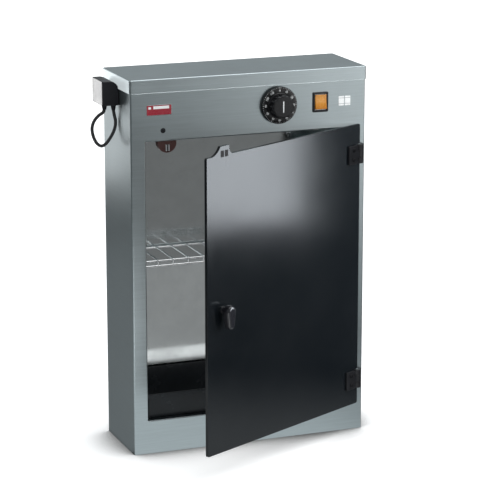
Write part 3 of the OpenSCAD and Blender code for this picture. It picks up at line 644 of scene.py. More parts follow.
RED_BADGE = badge_enamel()
LABEL = label_film()
CATCH_BROWN = moulding("catch_brown", (0.050, 0.022, 0.020), 0.36)
MAGNET = moulding("magnet", (0.03, 0.03, 0.032), 0.5, grain=700, depth=0.03)
GLASS = lamp_glass()
CAP_METAL = turned_metal("lamp_cap", (0.74, 0.75, 0.76), 0.28)
BRASS = turned_metal("brass", (0.80, 0.58, 0.24), 0.22)
SOCKET = moulding("socket_white", (0.80, 0.80, 0.77), 0.42, wear=1.04)
BALLAST = moulding("ballast_varnish", (0.62, 0.62, 0.60), 0.4, wear=1.05)
CREAM = moulding("terminal_cream", (0.76, 0.70, 0.52), 0.42, wear=1.05)
SHEATH = moulding("wire_sheath", (0.07, 0.09, 0.26), 0.4, wear=1.3)
RUBBER = moulding("cord_rubber", (0.014, 0.014, 0.015), 0.48, grain=1200, depth=0.015)


# ---------------------------------------------------------------- camera, cord

def add_camera():
    """The photo's view."""
    data = bpy.data.cameras.new("camera")
    data.sensor_width = 36
    data.lens = CAMERA_LENS
    data.clip_end = 60
    obj = link_new("camera", data)
    obj.location = CAMERA_PLACE
    obj.rotation_euler = (math.radians(90 - CAMERA_DOWN), 0, math.radians(CAMERA_TURN))
    bpy.context.scene.camera = obj


def link_cord():
    """The short cord that leaves the supply box by one gland and goes back in by the other."""
    route = [Vector(p) * MM for p in CORD_ROUTE]
    data = bpy.data.curves.new("link_cord_run", "CURVE")
    data.dimensions = "3D"
    data.bevel_depth = CORD_R
    data.bevel_resolution = 4
    data.resolution_u = 10
    data.use_fill_caps = True
    spline = data.splines.new("BEZIER")
    spline.bezier_points.add(len(route) - 1)
    last = len(route) - 1
    for i, (knot, here) in enumerate(zip(spline.bezier_points, route)):
        run = (route[min(i + 1, last)] - route[max(i - 1, 0)]) / 6
        knot.co = here
        knot.handle_left = here - run
        knot.handle_right = here + run
    obj = link_new("link_cord_run", data)
    data.materials.append(RUBBER)
    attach(obj, "cabinet")
    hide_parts("link_cord")
    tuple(route[0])


# ---------------------------------------------------------------- casing

def casing():
    """The front and sides, folded from one sheet, with an edge turned in round the opening."""
    low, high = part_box("casing")
    top = high.z
    bm = bmesh.new()
    right = [Vector((high.x, high.y))] + arc(high.x - CORNER_R, low.y + CORNER_R, CORNER_R, 0, -90, 6)
    columns = {}
    for side in (-1, 1):
        column = [[bm.verts.new((side * p.x, p.y, z)) for z in (0, top)] for p in right]
        columns[side] = column[-1]
        for a, b in zip(column, column[1:]):
            bm.faces.new((a[0], b[0], b[1], a[1]))
    outer = [columns[1][1], columns[-1][1], columns[-1][0], columns[1][0]]
    middle = (OPENING_LOW + OPENING_TOP) / 2
    tall = OPENING_TOP - OPENING_LOW
    steps = 6
    at = on_front(0, middle)
    loops = []
    for grow, deep in quarter(FOLD_R, 6):
        ring = round_rect(2 * (OPENING_X + grow), tall + 2 * grow, FOLD_R / 2 + grow, steps)
        loops.append([bm.verts.new(at(p.x, p.y, -deep)) for p in ring])
    inner = round_rect(2 * OPENING_X, tall, FOLD_R / 2, steps)
    loops.append([bm.verts.new(at(p.x, p.y, -FOLD_DEPTH)) for p in inner])
    count = len(inner)
    for a, b in zip(loops, loops[1:]):
        for i in range(count):
            j = (i + 1) % count
            bm.faces.new((a[i], a[j], b[j], b[i]))
    edge = loops[0]
    turns = [k * (steps + 1) + steps // 2 for k in range(4)]
    for k in range(4):
        start, end = turns[k], turns[(k + 1) % 4]
        stop = end + 1 if end > start else end + count + 1
        span = [edge[i % count] for i in range(start, stop)]
        bm.faces.new([outer[k], *span, outer[(k + 1) % 4]])
    for side in (-1, 1):
        near = side * (high.x - SHEET)
        far = side * (high.x - SHEET - FLANGE)
        corners = [(near, 0), (near, top), (far, top), (far, 0)]
        bm.faces.new([bm.verts.new((x, high.y - SHEET, z)) for x, z in corners])
    face_outwards(bm)
    piece("casing_shell", bm, STEEL, "cabinet", ["casing"], sharp=40, solid=SHEET)


def face_outwards(bm):
    """Turns each joined part of an open skin so that it faces away from the cabinet's middle line."""
    bmesh.ops.recalc_face_normals(bm, faces=bm.faces)
    left = set(bm.faces)
    while left:
        seed = left.pop()
        island, front = {seed}, [seed]
        while front:
            face = front.pop()
            for edge in face.edges:
                for other in edge.link_faces:
                    if other in left:
                        left.discard(other)
                        island.add(other)
                        front.append(other)
        largest = max(island, key=lambda f: f.calc_area())
        outward = largest.calc_center_median()
        outward.z = 0
        if abs(largest.normal.z) < 0.5 and largest.normal.dot(outward) < 0:
            bmesh.ops.reverse_faces(bm, faces=list(island))


def lid():
    """A shallow cap with softly folded top edges and a rounded hem round its skirt."""
    low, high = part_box("lid")
    wide, deep = high.x - low.x, high.y - low.y
    radius = CORNER_R + SHEET
    hem = SHEET / 2
    levels = [(SHEET, high.z - SHEET), (SHEET, low.z + hem)]
    for k in range(1, 9):
        a = math.pi * k / 8
        levels.append((hem + hem * math.cos(a), low.z + hem - hem * math.sin(a)))
    levels.append((0.0, low.z + 2 * hem))
    levels += [(d, high.z - h) for h, d in quarter(LID_EDGE_R, 6)]
    rings = []
    for d, z in levels:
        outline = round_rect(wide - 2 * d, deep - 2 * d, radius - d, 8)
        rings.append([Vector((p.x, p.y, z)) for p in outline])
    bm = bmesh.new()
    loft(bm, rings)
    piece("lid_shell", bm, STEEL_LID, "cabinet", ["lid"], sharp=40)


def screw_head(bm, at, radius, height):
    """A pan head with a cross recess."""
    head = bmesh.new()
    profile = [(radius, 0), (radius, height * 0.35)]
    for k in range(1, 7):
        a = math.pi / 2 * k / 6
        profile.append((radius * (0.35 + 0.65 * math.cos(a)), height * (0.35 + 0.65 * math.sin(a))))
    lathe(head, profile, on_plan(0, 0), 32)
    arm, half = radius * 0.55, radius * 0.13
    cross = [
        (arm, -half), (arm, half), (half, half), (half, arm), (-half, arm), (-half, half),
        (-arm, half), (-arm, -half), (-half, -half), (-half, -arm), (half, -arm), (half, -half),
    ]
    cutter = bmesh.new()
    ends = ((0.6, height * 0.3), (1.15, height * 1.2))
    loft(cutter, [[Vector((x * share, y * share, z)) for x, y in cross] for share, z in ends])
    cut = combined(head, removed=[cutter])
    for v in cut.verts:
        v.co = at(*v.co)
    mesh = to_mesh(cut, "head")
    bm.from_mesh(mesh)
    bpy.data.meshes.remove(mesh)


def rear_screws():
    """Pan heads at the rear: three in the lid's skirt, eight round the back panel."""
    low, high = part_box("lid")
    skirt = 1.3 * MM
    bm = bmesh.new()
    for x in LID_SCREW_X:
        place = on_rear(x, (low.z + high.z) / 2)
        screw_head(bm, lambda u, v, h, place=place: place(u, v, h + skirt), SCREW_R, SCREW_H)
    piece("lid_screw_heads", bm, SCREW_STEEL, "cabinet", ["lid_screws"])
    bm = bmesh.new()
    for x in BACK_SCREW_X:
        for z in BACK_SCREW_Z:
            screw_head(bm, on_rear(x, z), SCREW_R, SCREW_H)
    piece("back_screw_heads", bm, SCREW_STEEL, "cabinet", ["back_screws"])


def badge():
    """A domed enamel badge in a thin bright rim, with no mark."""
    low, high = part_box("badge")
    middle = (low + high) / 2
    size = high - low
    at = on_front(middle.x, middle.z)
    outline = round_rect(size.x, size.z, 2 * MM, 6)
    rim = bmesh.new()
    levels = [(0.0, 0.0), (0.0, 0.5), (0.15, 0.72), (0.45, 0.8), (0.75, 0.72), (0.9, 0.3), (0.9, 0.0)]
    loft(rim, stacked(at, outline, in_metres(levels)), False, False)
    piece("badge_rim", rim, SCREW_STEEL, "cabinet")
    field = bmesh.new()
    levels = [(0, 0.0), (0, 0.42), (0.2, 0.55), (0.6, 0.66), (1.1, 0.72)]
    loft(field, stacked(at, inset(outline, 0.8 * MM), in_metres(levels)))
    piece("badge_field", field, RED_BADGE, "cabinet", ["badge"])


def info_labels():
    """Two thin film labels with round corners."""
    bm = bmesh.new()
    low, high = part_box("info_labels")
    wide = 9.6 * MM
    outline = round_rect(wide, high.z - low.z, 1 * MM, 5)
    for x in (low.x + wide / 2, high.x - wide / 2):
        plate(bm, outline, on_front(x, (low.z + high.z) / 2), 0, 0.3 * MM, 0.08 * MM, 2)
    piece("info_label_films", bm, LABEL, "cabinet", ["info_labels"])


def sensor_and_catch():
    """The door sensor over the opening, and the magnetic catch under its top edge."""
    low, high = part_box("door_sensor")
    middle = (low + high) / 2
    at = on_front(middle.x, middle.z)
    r = (high.x - low.x) / 2 / MM
    bm = bmesh.new()
    profile = [(3.5, -18), (3.5, -0.1), (r, 0.0), (r, 0.45), (r - 0.5, 0.95), (3.1, 1.1), (2.9, 0.8),
               (2.5, 0.8), (2.3, 1.25), (1.5, 1.5), (0.5, 1.55)]
    lathe(bm, in_metres(profile), at)
    piece("door_sensor_cap", bm, BLACK, "cabinet", ["door_sensor"])
    low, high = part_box("catch_housing")
    middle = (low + high) / 2
    r, drop = 15.4 * MM, 3.6 * MM
    half = math.degrees(math.asin(drop / r))
    corner = 0.6 * MM
    outline = fillet(arc(0, -drop, r, -180 - half, half, 40), [corner] + [0] * 39 + [corner], 3)
    bm = bmesh.new()
    at = on_front(middle.x, high.z, high.y)
    plate(bm, outline, at, 0, high.y - low.y, 0.8 * MM, 4)
    slot_cut = bmesh.new()
    pole_low, pole_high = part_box("catch_poles")
    gap = Vector((0.1 * MM, 0.1 * MM, 0.1 * MM))
    block(slot_cut, pole_low - gap - Vector((0, 5 * MM, 0)), pole_high + gap, 0.3 * MM)
    body = combined(bm, removed=[slot_cut])
    piece("catch_body", body, CATCH_BROWN, "cabinet", ["catch_housing"])
    bm = bmesh.new()
    pole = 1.6 * MM
    for x in (pole_low.x, pole_high.x - pole):
        block(bm, (x, pole_low.y, pole_low.z), (x + pole, pole_high.y, pole_high.z), 0.25 * MM)
    piece("catch_pole_plates", bm, POLE_STEEL, "cabinet", ["catch_poles"])


# ---------------------------------------------------------------- controls

def fluted(r, flutes=12, cutter=3.6 * MM, away=2.4 * MM, steps=20):
    """A round outline with hollow flutes."""
    points = []
    reach = r + away
    for i in range(flutes * steps):
        angle = 2 * math.pi * i / (flutes * steps)
        pitch = 2 * math.pi / flutes
        off = (angle % pitch) - pitch / 2
        radius = r
        if abs(reach * math.sin(off)) < cutter:
            radius = min(r, reach * math.cos(off) - math.sqrt(cutter**2 - (reach * math.sin(off))**2))
        points.append(Vector((radius * math.cos(angle), radius * math.sin(angle))))
    for _ in range(2):
        after = points[1:] + points[:1]
        points = [(points[i - 1] + here * 2 + after[i]) / 4 for i, here in enumerate(points)]
    return points


def timer_knob():
    """A numbered skirt, a fluted grip on it and a white line across the grip."""
    at = on_front(TIMER_X, CONTROL_Z)
    bm = bmesh.new()
    skirt = [(28.6, 2.0), (29.5, 2.3), (30.0, 3.0), (30.0, 4.9), (29.7, 5.6), (29.0, 6.0), (21.2, 6.0),
             (20.6, 5.7), (20.2, 5.7), (19.4, 6.4), (18.4, 6.6)]
    lathe(bm, in_metres(skirt), at, 96)
    grip = bmesh.new()
    levels = [(0.0, 5.0), (0.0, 9.0), (0.35, 19.0), (0.5, 20.4), (0.9, 21.3), (1.6, 21.85), (2.6, 22.0)]
    loft(grip, [[at(p.x, p.y, h) for p in fluted(19 * MM - d)] for d, h in in_metres(levels)])
    groove = bmesh.new()
    ring_out = [(16.4, 21.6), (16.4, 22.6), (15.6, 22.6), (15.6, 21.6)]
    loops = [[at(p.x, p.y, h) for p in circle(r, 72)] for r, h in in_metres(ring_out)]
    loft(groove, loops + [loops[0]], False, False)
    bmesh.ops.remove_doubles(groove, verts=groove.verts, dist=1e-7)
    body = combined(bm, [grip], [groove])
    piece("timer_knob_body", body, DIAL_BLACK, "timer_knob", ["timer_knob"])
    line = bmesh.new()
    plate(line, round_rect(1.8 * MM, 18 * MM, 0.6 * MM, 4), at, 21.8 * MM, 22.5 * MM, 0.2 * MM, 2)
    piece("knob_line", line, WHITE_PRINT, "timer_knob", ["knob_pointer"])
    dial_print(at)


def dial_print(at):
    """Numbers and minute lines on the skirt, a hair proud of it."""
    bm = bmesh.new()
    face = 6.0 * MM
    foot = face - 0.02 * MM
    outer, number_r = 29.0 * MM, 23.9 * MM
    for i in range(60):
        major = i % 5 == 0
        long = (2.4 if major else 1.3) * MM
        wide = (0.55 if major else 0.3) * MM
        turn = Matrix.Rotation(-2 * math.pi * i / 60, 2)
        line = round_rect(wide, long, wide * 0.3, 2)
        turned = [turn @ Vector((p.x, p.y + outer - long / 2)) for p in line]
        plate(bm, turned, at, foot, face + 0.06 * MM, 0.01 * MM, 1)
    for i in range(12):
        glyphs = number_mesh(str(i * 10), 4.6 * MM)
        turn = Matrix.Rotation(-2 * math.pi * i / 12, 2)
        middle = sum((v.co for v in glyphs.vertices), Vector()) / len(glyphs.vertices)
        for v in glyphs.vertices:
            flat = turn @ Vector((v.co.x - middle.x, v.co.y - middle.y + number_r))
            v.co = at(flat.x, flat.y, foot + v.co.z)
        bm.from_mesh(glyphs)
        bpy.data.meshes.remove(glyphs)
    piece("dial_numbers", bm, WHITE_PRINT, "timer_knob")


def number_mesh(text, size):
    """A thin raised number as a mesh."""
    data = bpy.data.curves.new("number", "FONT")
    data.body = text
    data.size = size
    data.align_x = "CENTER"
    data.extrude = 0.04 * MM
    data.offset = 0.06 * MM
    data.resolution_u = 3
    obj = link_new("number", data)
    bpy.context.view_layer.update()
    shown = obj.evaluated_get(bpy.context.evaluated_depsgraph_get())
    mesh = bpy.data.meshes.new_from_object(shown)
    bpy.data.objects.remove(obj)
    bpy.data.curves.remove(data)
    return mesh


def timer_collar():
    """The shallow seat ring under the knob."""
    at = on_front(TIMER_X, CONTROL_Z)
    bm = bmesh.new()
    profile = [(9.5, 0.0), (9.5, 0.5), (9.1, 0.9), (8.4, 1.0), (6.2, 1.0), (6.2, 0.0)]
    loft(bm, [[at(p.x, p.y, h) for p in circle(r)] for r, h in in_metres(profile)], False, False)
    piece("timer_seat_ring", bm, SCREW_STEEL, "cabinet")


def switch():
    """A black frame round a lit rocker whose upper half is pressed in."""
    at = on_front(SWITCH_X, CONTROL_Z)
    bm = bmesh.new()
    outer = round_rect(27 * MM, 32.5 * MM, 2.2 * MM, 6)
    inner = round_rect(20 * MM, 25.9 * MM, 0.9 * MM, 6)
    outside = [(0.0, 0.0), (0.0, 0.9), (0.35, 1.55), (0.9, 1.9), (1.4, 2.0)]
    inside = [(-0.9, 2.0), (-0.4, 1.9), (-0.1, 1.6), (0.0, 1.2), (0.0, -14.0)]
    rings = stacked(at, outer, in_metres(outside)) + stacked(at, inner, in_metres(inside))
    loft(bm, rings, first=False)
    back = round_rect(23.6 * MM, 29 * MM, 1 * MM, 6)
    loft(bm, [[at(p.x, p.y, h) for p in back] for h in (0.0, -22 * MM)], first=False)
    piece("switch_frame", bm, BLACK, "cabinet", ["switch_housing"])
    rocker()


def rocker():
    """The lens: a shallow V face with soft ends, on trunnions inside the frame."""
    pivot = Vector(joint("rocker_tilt")["pos_m"])
    tilt = -math.radians(joint("rocker_tilt")["range_deg"][1]) / 2
    side = [
        (-2.6, 12.2), (-6.0, 6.0), (-6.0, -6.0), (-2.6, -12.2),
        (4.9, -11.6), (4.35, -9.0), (3.75, -5.0), (3.45, -1.5),
        (3.45, 1.5), (3.75, 5.0), (4.35, 9.0), (4.9, 11.6),
    ]
    radii = [0.9] * 4 + [0.7] + [0] * 6 + [0.7]
    outline = fillet([Vector(p) for p in in_metres(side)], [r * MM for r in radii], 4)

    def at(h, v, across):
        up = v * math.cos(tilt) - h * math.sin(tilt)
        out = v * math.sin(tilt) + h * math.cos(tilt)
        return Vector((pivot.x + across, pivot.y - out, pivot.z + up))

    bm = bmesh.new()
    half = 9.7 * MM
    plate(bm, outline, at, -half, half, 0.6 * MM, 4)
    piece("rocker_lens", bm, AMBER, "rocker", ["switch_rocker"], sharp=50)


# ---------------------------------------------------------------- supply box

def supply_box():
    """A moulded box with a round inner shoulder, a split line, and room for the lid's skirt."""
    low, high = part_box("power_box")
    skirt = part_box("lid")[0].z - 0.1 * MM
    big = 16 * MM
    inner_x = high.x - 1.5 * MM
    centre_x, centre_z = high.x - big, high.z - big
    start = math.degrees(math.acos((inner_x - centre_x) / big))
    curve = arc(centre_x, centre_z, big, start, 90, 14)
    foot = [(low.x, low.z), (high.x, low.z), (high.x, skirt), (inner_x, skirt)]
    points = [Vector(p) for p in foot] + curve + [Vector((low.x, high.z))]
    radii = [1.6 * MM, 0.6 * MM, 0.2 * MM, 0.2 * MM] + [0] * len(curve) + [1.6 * MM]
    outline = fillet(points, radii, 5)
    bm = bmesh.new()
    deep = high.y - low.y
    curve = quarter(1.2 * MM, 4)
    split = in_metres([(0, 9), (0.35, 9.1), (0.35, 9.6), (0, 9.7)])
    levels = curve + split + [(d, deep - h) for d, h in reversed(curve)]
    loft(bm, stacked(on_front(0, 0, high.y), outline, levels))
    piece("supply_box_shell", bm, BLACK, "cabinet", ["power_box"], sharp=30)
    for name, node in (("front", "cord_gland_front"), ("rear", "cord_gland_rear")):
        gland(name, node)


def gland(name, node):
    """A ribbed, tapered grommet that the cord leaves by."""
    low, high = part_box(node)
    middle = (low + high) / 2
    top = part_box("power_box")[0].z
    neck = top - low.z
    profile = [(2.75 * MM, low.z), (3.1 * MM, low.z + 0.05 * MM)]
    ribs = 4
    for k in range(ribs):
        base = low.z + neck * (k + 0.25) / (ribs + 0.6)
        r = (3.1 + 1.3 * k / ribs) * MM
        rib = in_metres([(0, 0), (0.25, 0.3), (0.25, 0.9), (-0.15, 1.1)])
        profile += [(r + out, base + up) for out, up in rib]
    waist, wide, seat = 3.4 * MM, 4.6 * MM, 2 * MM
    profile += [(wide, top - 0.9 * MM), (wide, top), (waist, top), (waist, top + seat)]
    profile += [(wide, top + seat), (wide, high.z)]
    bm = bmesh.new()
    lathe(bm, profile, on_plan(middle.x, middle.y), 32)
    piece(f"cord_gland_{name}_ribbed", bm, BLACK, "cabinet", [node])


# ---------------------------------------------------------------- door

def door_outline():
    """The panel's outline seen from the front: a tab at the free top corner and notches at the hinges."""
    low, high = shut_box("door_panel")
    tab_h, dip = 14 * MM, 0.6 * MM
    top = high.z - tab_h
    left, right = low.x + 31 * MM, low.x + 52 * MM
    rise = tab_h + dip
    sides = []
    for x, run, sign in ((left, 24 * MM, -1), (right, 10.5 * MM, 1)):
        r = (run * run + rise * rise) / (2 * rise)
        centre = Vector((x + sign * run, top - dip + r))
        down = top - centre.y
        start = math.degrees(math.atan2(high.z - centre.y, x - centre.x)) % 360
        end = math.degrees(math.atan2(down, -sign * math.sqrt(r * r - down * down))) % 360
        sides.append(arc(centre.x, centre.y, r, start, end, 12))
    notch_x = HINGE.x - BARREL_R - 1 * MM
    half = HINGE_H / 2 + 1 * MM
    points = [Vector((low.x, low.z)), Vector((high.x, low.z))]
    radii = [3, 3]
    for z in (HINGE_Z["lower"], HINGE_Z["upper"]):
        notch = [(high.x, z - half), (notch_x, z - half), (notch_x, z + half), (high.x, z + half)]
        points += [Vector(p) for p in notch]
        radii += [1, 1, 1, 1]
    points += [Vector((high.x, top)), *sides[1][::-1], *sides[0], Vector((low.x, top))]
    radii += [3, 2, *[0] * 11, 1.2, 1.2, *[0] * 11, 4, 3]
    return fillet(points, [r * MM for r in radii], 5)


def door_panel():
    """The acrylic sheet with polished edges and pockets for its magnets."""
    low, high = shut_box("door_panel")
    bm = bmesh.new()
    plate(bm, door_outline(), on_front(0, 0, high.y), 0, high.y - low.y, 0.5 * MM, 3)
    pockets = []
    magnets = bmesh.new()
    m_low, m_high = shut_box("door_magnets")
    wide, gap = 7.4 * MM, 0.05 * MM
    for x in (m_low.x, m_high.x - wide):
        pocket = bmesh.new()
        block(pocket, (x, m_low.y - 2 * MM, m_low.z), (x + wide, m_high.y + 2 * MM, m_high.z), 0.3 * MM)
        pockets.append(pocket)
        magnet_low = (x + gap, m_low.y, m_low.z + gap)
        block(magnets, magnet_low, (x + wide - gap, m_high.y, m_high.z - gap), 0.4 * MM)
    panel = combined(bm, removed=pockets)
    piece("door_sheet", panel, ACRYLIC, "door", ["door_panel"], pose=DOOR_POSE, sharp=35)
    piece("door_magnet_pair", magnets, MAGNET, "door", ["door_magnets"], pose=DOOR_POSE)


def teardrop(top_r, low_r, drop, steps=40):
    """A round head and a smaller round tail below it, joined by straight sides."""
    lean = math.degrees(math.asin((top_r - low_r) / drop))
    head = arc(0, 0, top_r, -lean, 180 + lean, steps)
    tail = arc(0, -drop, low_r, 180 + lean, 360 - lean, steps // 2)
    return head + tail


def door_pull():
    """A polished pull: a round head with a tapered tail on a short stem."""
    low, high = shut_box("door_knob")
    front_face = shut_box("door_panel")[0].y
    x = (low.x + high.x) / 2
    z = high.z - 9.5 * MM
    at = on_front(x, z, front_face)
    bm = bmesh.new()
    levels = [(2.2, 8.0), (1.0, 8.25), (0.3, 9.0), (0.0, 10.2), (0.0, 15.0), (0.25, 17.0), (0.9, 18.4),
              (2.0, 19.3), (3.4, 19.8), (5.0, 20.0)]
    rings = []
    for d, h in levels:
        outline = teardrop((9.5 - d) * MM, (6.8 - d * 0.98) * MM, 21.2 * MM)
        rings.append([at(p.x, p.y, h * MM) for p in outline])
    loft(bm, rings)
    stem = bmesh.new()
    profile = [(6.0, 0.0), (6.0, 0.6), (5.4, 1.6), (5.1, 4.0), (5.4, 6.6), (6.0, 8.0), (6.0, 9.5)]
    lathe(stem, in_metres(profile), at)
    pull = combined(bm, [stem])
    piece("door_pull", pull, BLACK_GLOSS, "door", ["door_knob"], pose=DOOR_POSE, sharp=40)


def strike():
    """The catch's strike: a thin plate with rounded corners on the back of the door."""
    low, high = shut_box("strike_plate")
    middle = (low + high) / 2
    at = behind_door(middle.x, middle.z)
    bm = bmesh.new()
    plate(bm, round_rect(high.x - low.x, high.z - low.z, 2 * MM, 6), at, 0, high.y - low.y, 0.3 * MM)
    piece("strike_plate_face", bm, ZINC, "door", ["strike_plate"], pose=DOOR_POSE)


def hinges():
    """Two black hinges: a bracket with two knuckles on the casing, a leaf with one on the door."""
    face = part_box("casing")[0].y
    door_front = shut_box("door_panel")[0].y
    axis = on_plan(HINGE.x, HINGE.y)
    half, top = HINGE_H / 2, LEAF_BARREL / 2
    leaf_x = HINGE.x - LEAF_AWAY
    leaf_outline = round_rect(LEAF_W, HINGE_H, 3 * MM, 6)
    knuckle = arc(HINGE.x, HINGE.y, BARREL_R, 90, 360, 40)
    foot_x = HINGE.x + 8.6 * MM
    foot = [Vector(p) for p in ((foot_x, HINGE.y), (foot_x, face), (HINGE.x, face))]
    outline = fillet(knuckle + foot, [0] * len(knuckle) + [1.6 * MM, 0.5 * MM, 0.0], 4)
    screws = bmesh.new()
    for name, z in HINGE_Z.items():
        bracket = bmesh.new()
        plate(bracket, outline, on_plan(0, 0), z - half, z + half, 0.8 * MM, 4)
        gap = bmesh.new()
        wide, tall = BARREL_R + KNUCKLE_ROOM, top + KNUCKLE_ROOM
        lathe(gap, [(wide, z - tall), (wide, z + tall)], axis, 64)
        bracket = combined(bracket, removed=[gap, bore(z, FRAME_BORE_R)])
        piece(f"hinge_{name}_bracket", bracket, BLACK, "cabinet", [f"hinge_{name}_frame"])
        leaf = bmesh.new()
        plate(leaf, leaf_outline, on_front(leaf_x, z, door_front), 0, LEAF_T, 0.9 * MM, 4)
        barrel = bmesh.new()
        soft = 0.5 * MM
        ends = [(BARREL_R - soft, top), (BARREL_R, top - soft)]
        lathe(barrel, [(r, z - h) for r, h in ends] + [(r, z + h) for r, h in reversed(ends)], axis, 64)
        arm = bmesh.new()
        block(arm, (HINGE.x - 9 * MM, door_front - LEAF_T, z - top), (HINGE.x, door_front, z + top), 0.6 * MM)
        leaf = combined(leaf, [arm, barrel], [bore(z, LEAF_BORE_R)])
        piece(f"hinge_{name}_door_leaf", leaf, BLACK, "door",
              [f"hinge_{name}_leaf"], pose=DOOR_POSE)
        for dz in (-LEAF_SCREW_DZ, LEAF_SCREW_DZ):
            screw_head(screws, on_front(leaf_x, z + dz, door_front - LEAF_T), SCREW_R, SCREW_H)
            nut(screws, behind_door(leaf_x, z + dz))
    piece("leaf_screw_set", screws, SCREW_BLACK, "door", ["leaf_screws"], pose=DOOR_POSE)


def bore(z, radius):
    """A cutter for a hinge pin's hole."""
    cutter = bmesh.new()
    lathe(cutter, [(radius, z - HINGE_H), (radius, z + HINGE_H)], on_plan(HINGE.x, HINGE.y), 32)
    return cutter


def behind_door(x, z):
    """Puts (across, up, out) on the back of the shut door."""
    face = shut_box("door_panel")[1].y
    return lambda u, v, h: Vector((x - u, face + h, z + v))


def nut(bm, at):
    """A hexagon nut with chamfered corners and the screw's end in it."""
    flat, corner = 3.1 * MM, 3.6 * MM
    rings = []
    for share, h in ((0.93, 0.0), (1.0, 0.25), (1.0, 1.95), (0.93, 2.2)):
        ring = []
        for k in range(48):
            a = 2 * math.pi * k / 48
            hexagon = flat / math.cos((a % (math.pi / 3)) - math.pi / 6)
            r = min(hexagon, corner * share)
            ring.append(at(r * math.cos(a), r * math.sin(a), h * MM))
        rings.append(ring)
    loft(bm, rings)
    lathe(bm, in_metres([(2, 2.2), (2, 2.4), (1.7, 2.6)]), at, 24)


# ---------------------------------------------------------------- inside

def wire(route, bend, steps=6):
    """A route with its corners rounded."""
    corners = [Vector(p) for p in route]
    made = [corners[0]]
    for a, b, c in zip(corners, corners[1:], corners[2:]):
        start = b + (a - b).normalized() * bend
        end = b + (c - b).normalized() * bend
        for k in range(steps + 1):
            t = k / steps
            made.append(start * (1 - t) ** 2 + b * 2 * t * (1 - t) + end * t * t)
    return made + [corners[-1]]


def tube(bm, points, r, closed=False, sides=14):
    """A round wire along a route."""
    count = len(points)
    rings = []
    normal = None
    for i in range(count):
        before = points[i - 1] if i or closed else points[0]
        after = points[(i + 1) % count] if closed or i < count - 1 else points[-1]
        run = (after - before).normalized()
        if normal is None:
            normal = run.orthogonal().normalized()
        normal = (normal - run * normal.dot(run)).normalized()
        other = run.cross(normal)
        turns = [2 * math.pi * k / sides for k in range(sides)]
        rings.append([points[i] + (normal * math.cos(a) + other * math.sin(a)) * r for a in turns])
    if closed:
        rings.append(rings[0])
        loft(bm, rings, False, False)
    else:
        loft(bm, rings)


def wire_rack():
    """Chromed rack: a frame, wires from back to front that turn down at the front, and a lip wire."""
    low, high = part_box("wire_rack")
    frame_r, wire_r, bend = 2 * MM, 1.6 * MM, 3 * MM
    back, front = high.y - frame_r, low.y + 2 * frame_r
    left, right = low.x + frame_r, high.x - frame_r
    z = high.z - wire_r - frame_r
    bm = bmesh.new()
    corners = [(0, front), (right, front), (right, back), (left, back), (left, front)]
    loop = [Vector((x, y, z)) for x, y in corners]
    tube(bm, wire(loop + [loop[0]], 8 * MM)[:-1], frame_r, closed=True)
    bmesh.ops.remove_doubles(bm, verts=bm.verts, dist=1e-7)
    lip_z = low.z + frame_r
    pitch = 26 * MM
    count = int((right - left) // pitch)
    first = -(count - 1) * pitch / 2
    lip_y = front - frame_r
    for i in range(count):
        x = first + i * pitch
        route = [(x, back, z + frame_r), (x, lip_y, z + frame_r), (x, lip_y, lip_z)]
        tube(bm, wire(route, bend), wire_r)
    lip_x = 2 * MM - first
    tube(bm, [Vector((-lip_x, lip_y, lip_z)), Vector((lip_x, lip_y, lip_z))], frame_r)
    piece("wire_rack_grid", bm, CHROME, "rack", ["wire_rack"], sharp=50)


def drip_tray():
    """An enamelled pan with sloping rim, soft corners and a front lip folded down."""
    low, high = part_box("drip_tray")
    thick = 1.2 * MM
    front, back = low.y + thick, high.y
    base = low.z
    wide = high.x - low.x
    deep = back - front
    front_z, rear_z = 94.5 * MM, high.z
    middle = (front + back) / 2
    bm = bmesh.new()

    def rim(y, drop):
        """How high the sloping rim lies at a depth."""
        return front_z + (rear_z - front_z) * (y - front) / deep - drop

    def ring(d, height, slope):
        """One level of the wall, flat or along the sloping rim."""
        outline = round_rect(wide - 2 * d, deep - 2 * d, max(0.6 * MM, 5 * MM - d), 6)
        points = []
        for p in outline:
            y = p.y + middle
            z = rim(min(max(y, front), back), height) if slope else base + height
            points.append(Vector((p.x, y, z)))
        return points

    foot = quarter(3 * MM, 4)
    edge = in_metres([(0, 0.5), (0.12, 0.15), (0.5, 0), (1.1, 0.12), (1.2, 0.5)])
    rings = [ring(d, h, False) for d, h in foot]
    rings += [ring(d, h, True) for d, h in edge]
    rings += [ring(thick + d, thick + h, False) for d, h in reversed(foot)]
    loft(bm, rings)
    side, lip_low, lip_high = wide / 2, front_z - 6 * MM, front_z - 0.2 * MM
    corners = ((-side, lip_low), (side, lip_low), (side, lip_high), (-side, lip_high))
    lip = fillet([Vector(p) for p in corners], 1.5 * MM, 4)
    fold = bmesh.new()
    plate(fold, lip, on_front(0, 0, front), -0.4 * MM, thick, 0.5 * MM, 4)
    piece("drip_tray_pan", combined(bm, [fold]), TRAY_BLACK, "tray", ["drip_tray"], sharp=35)


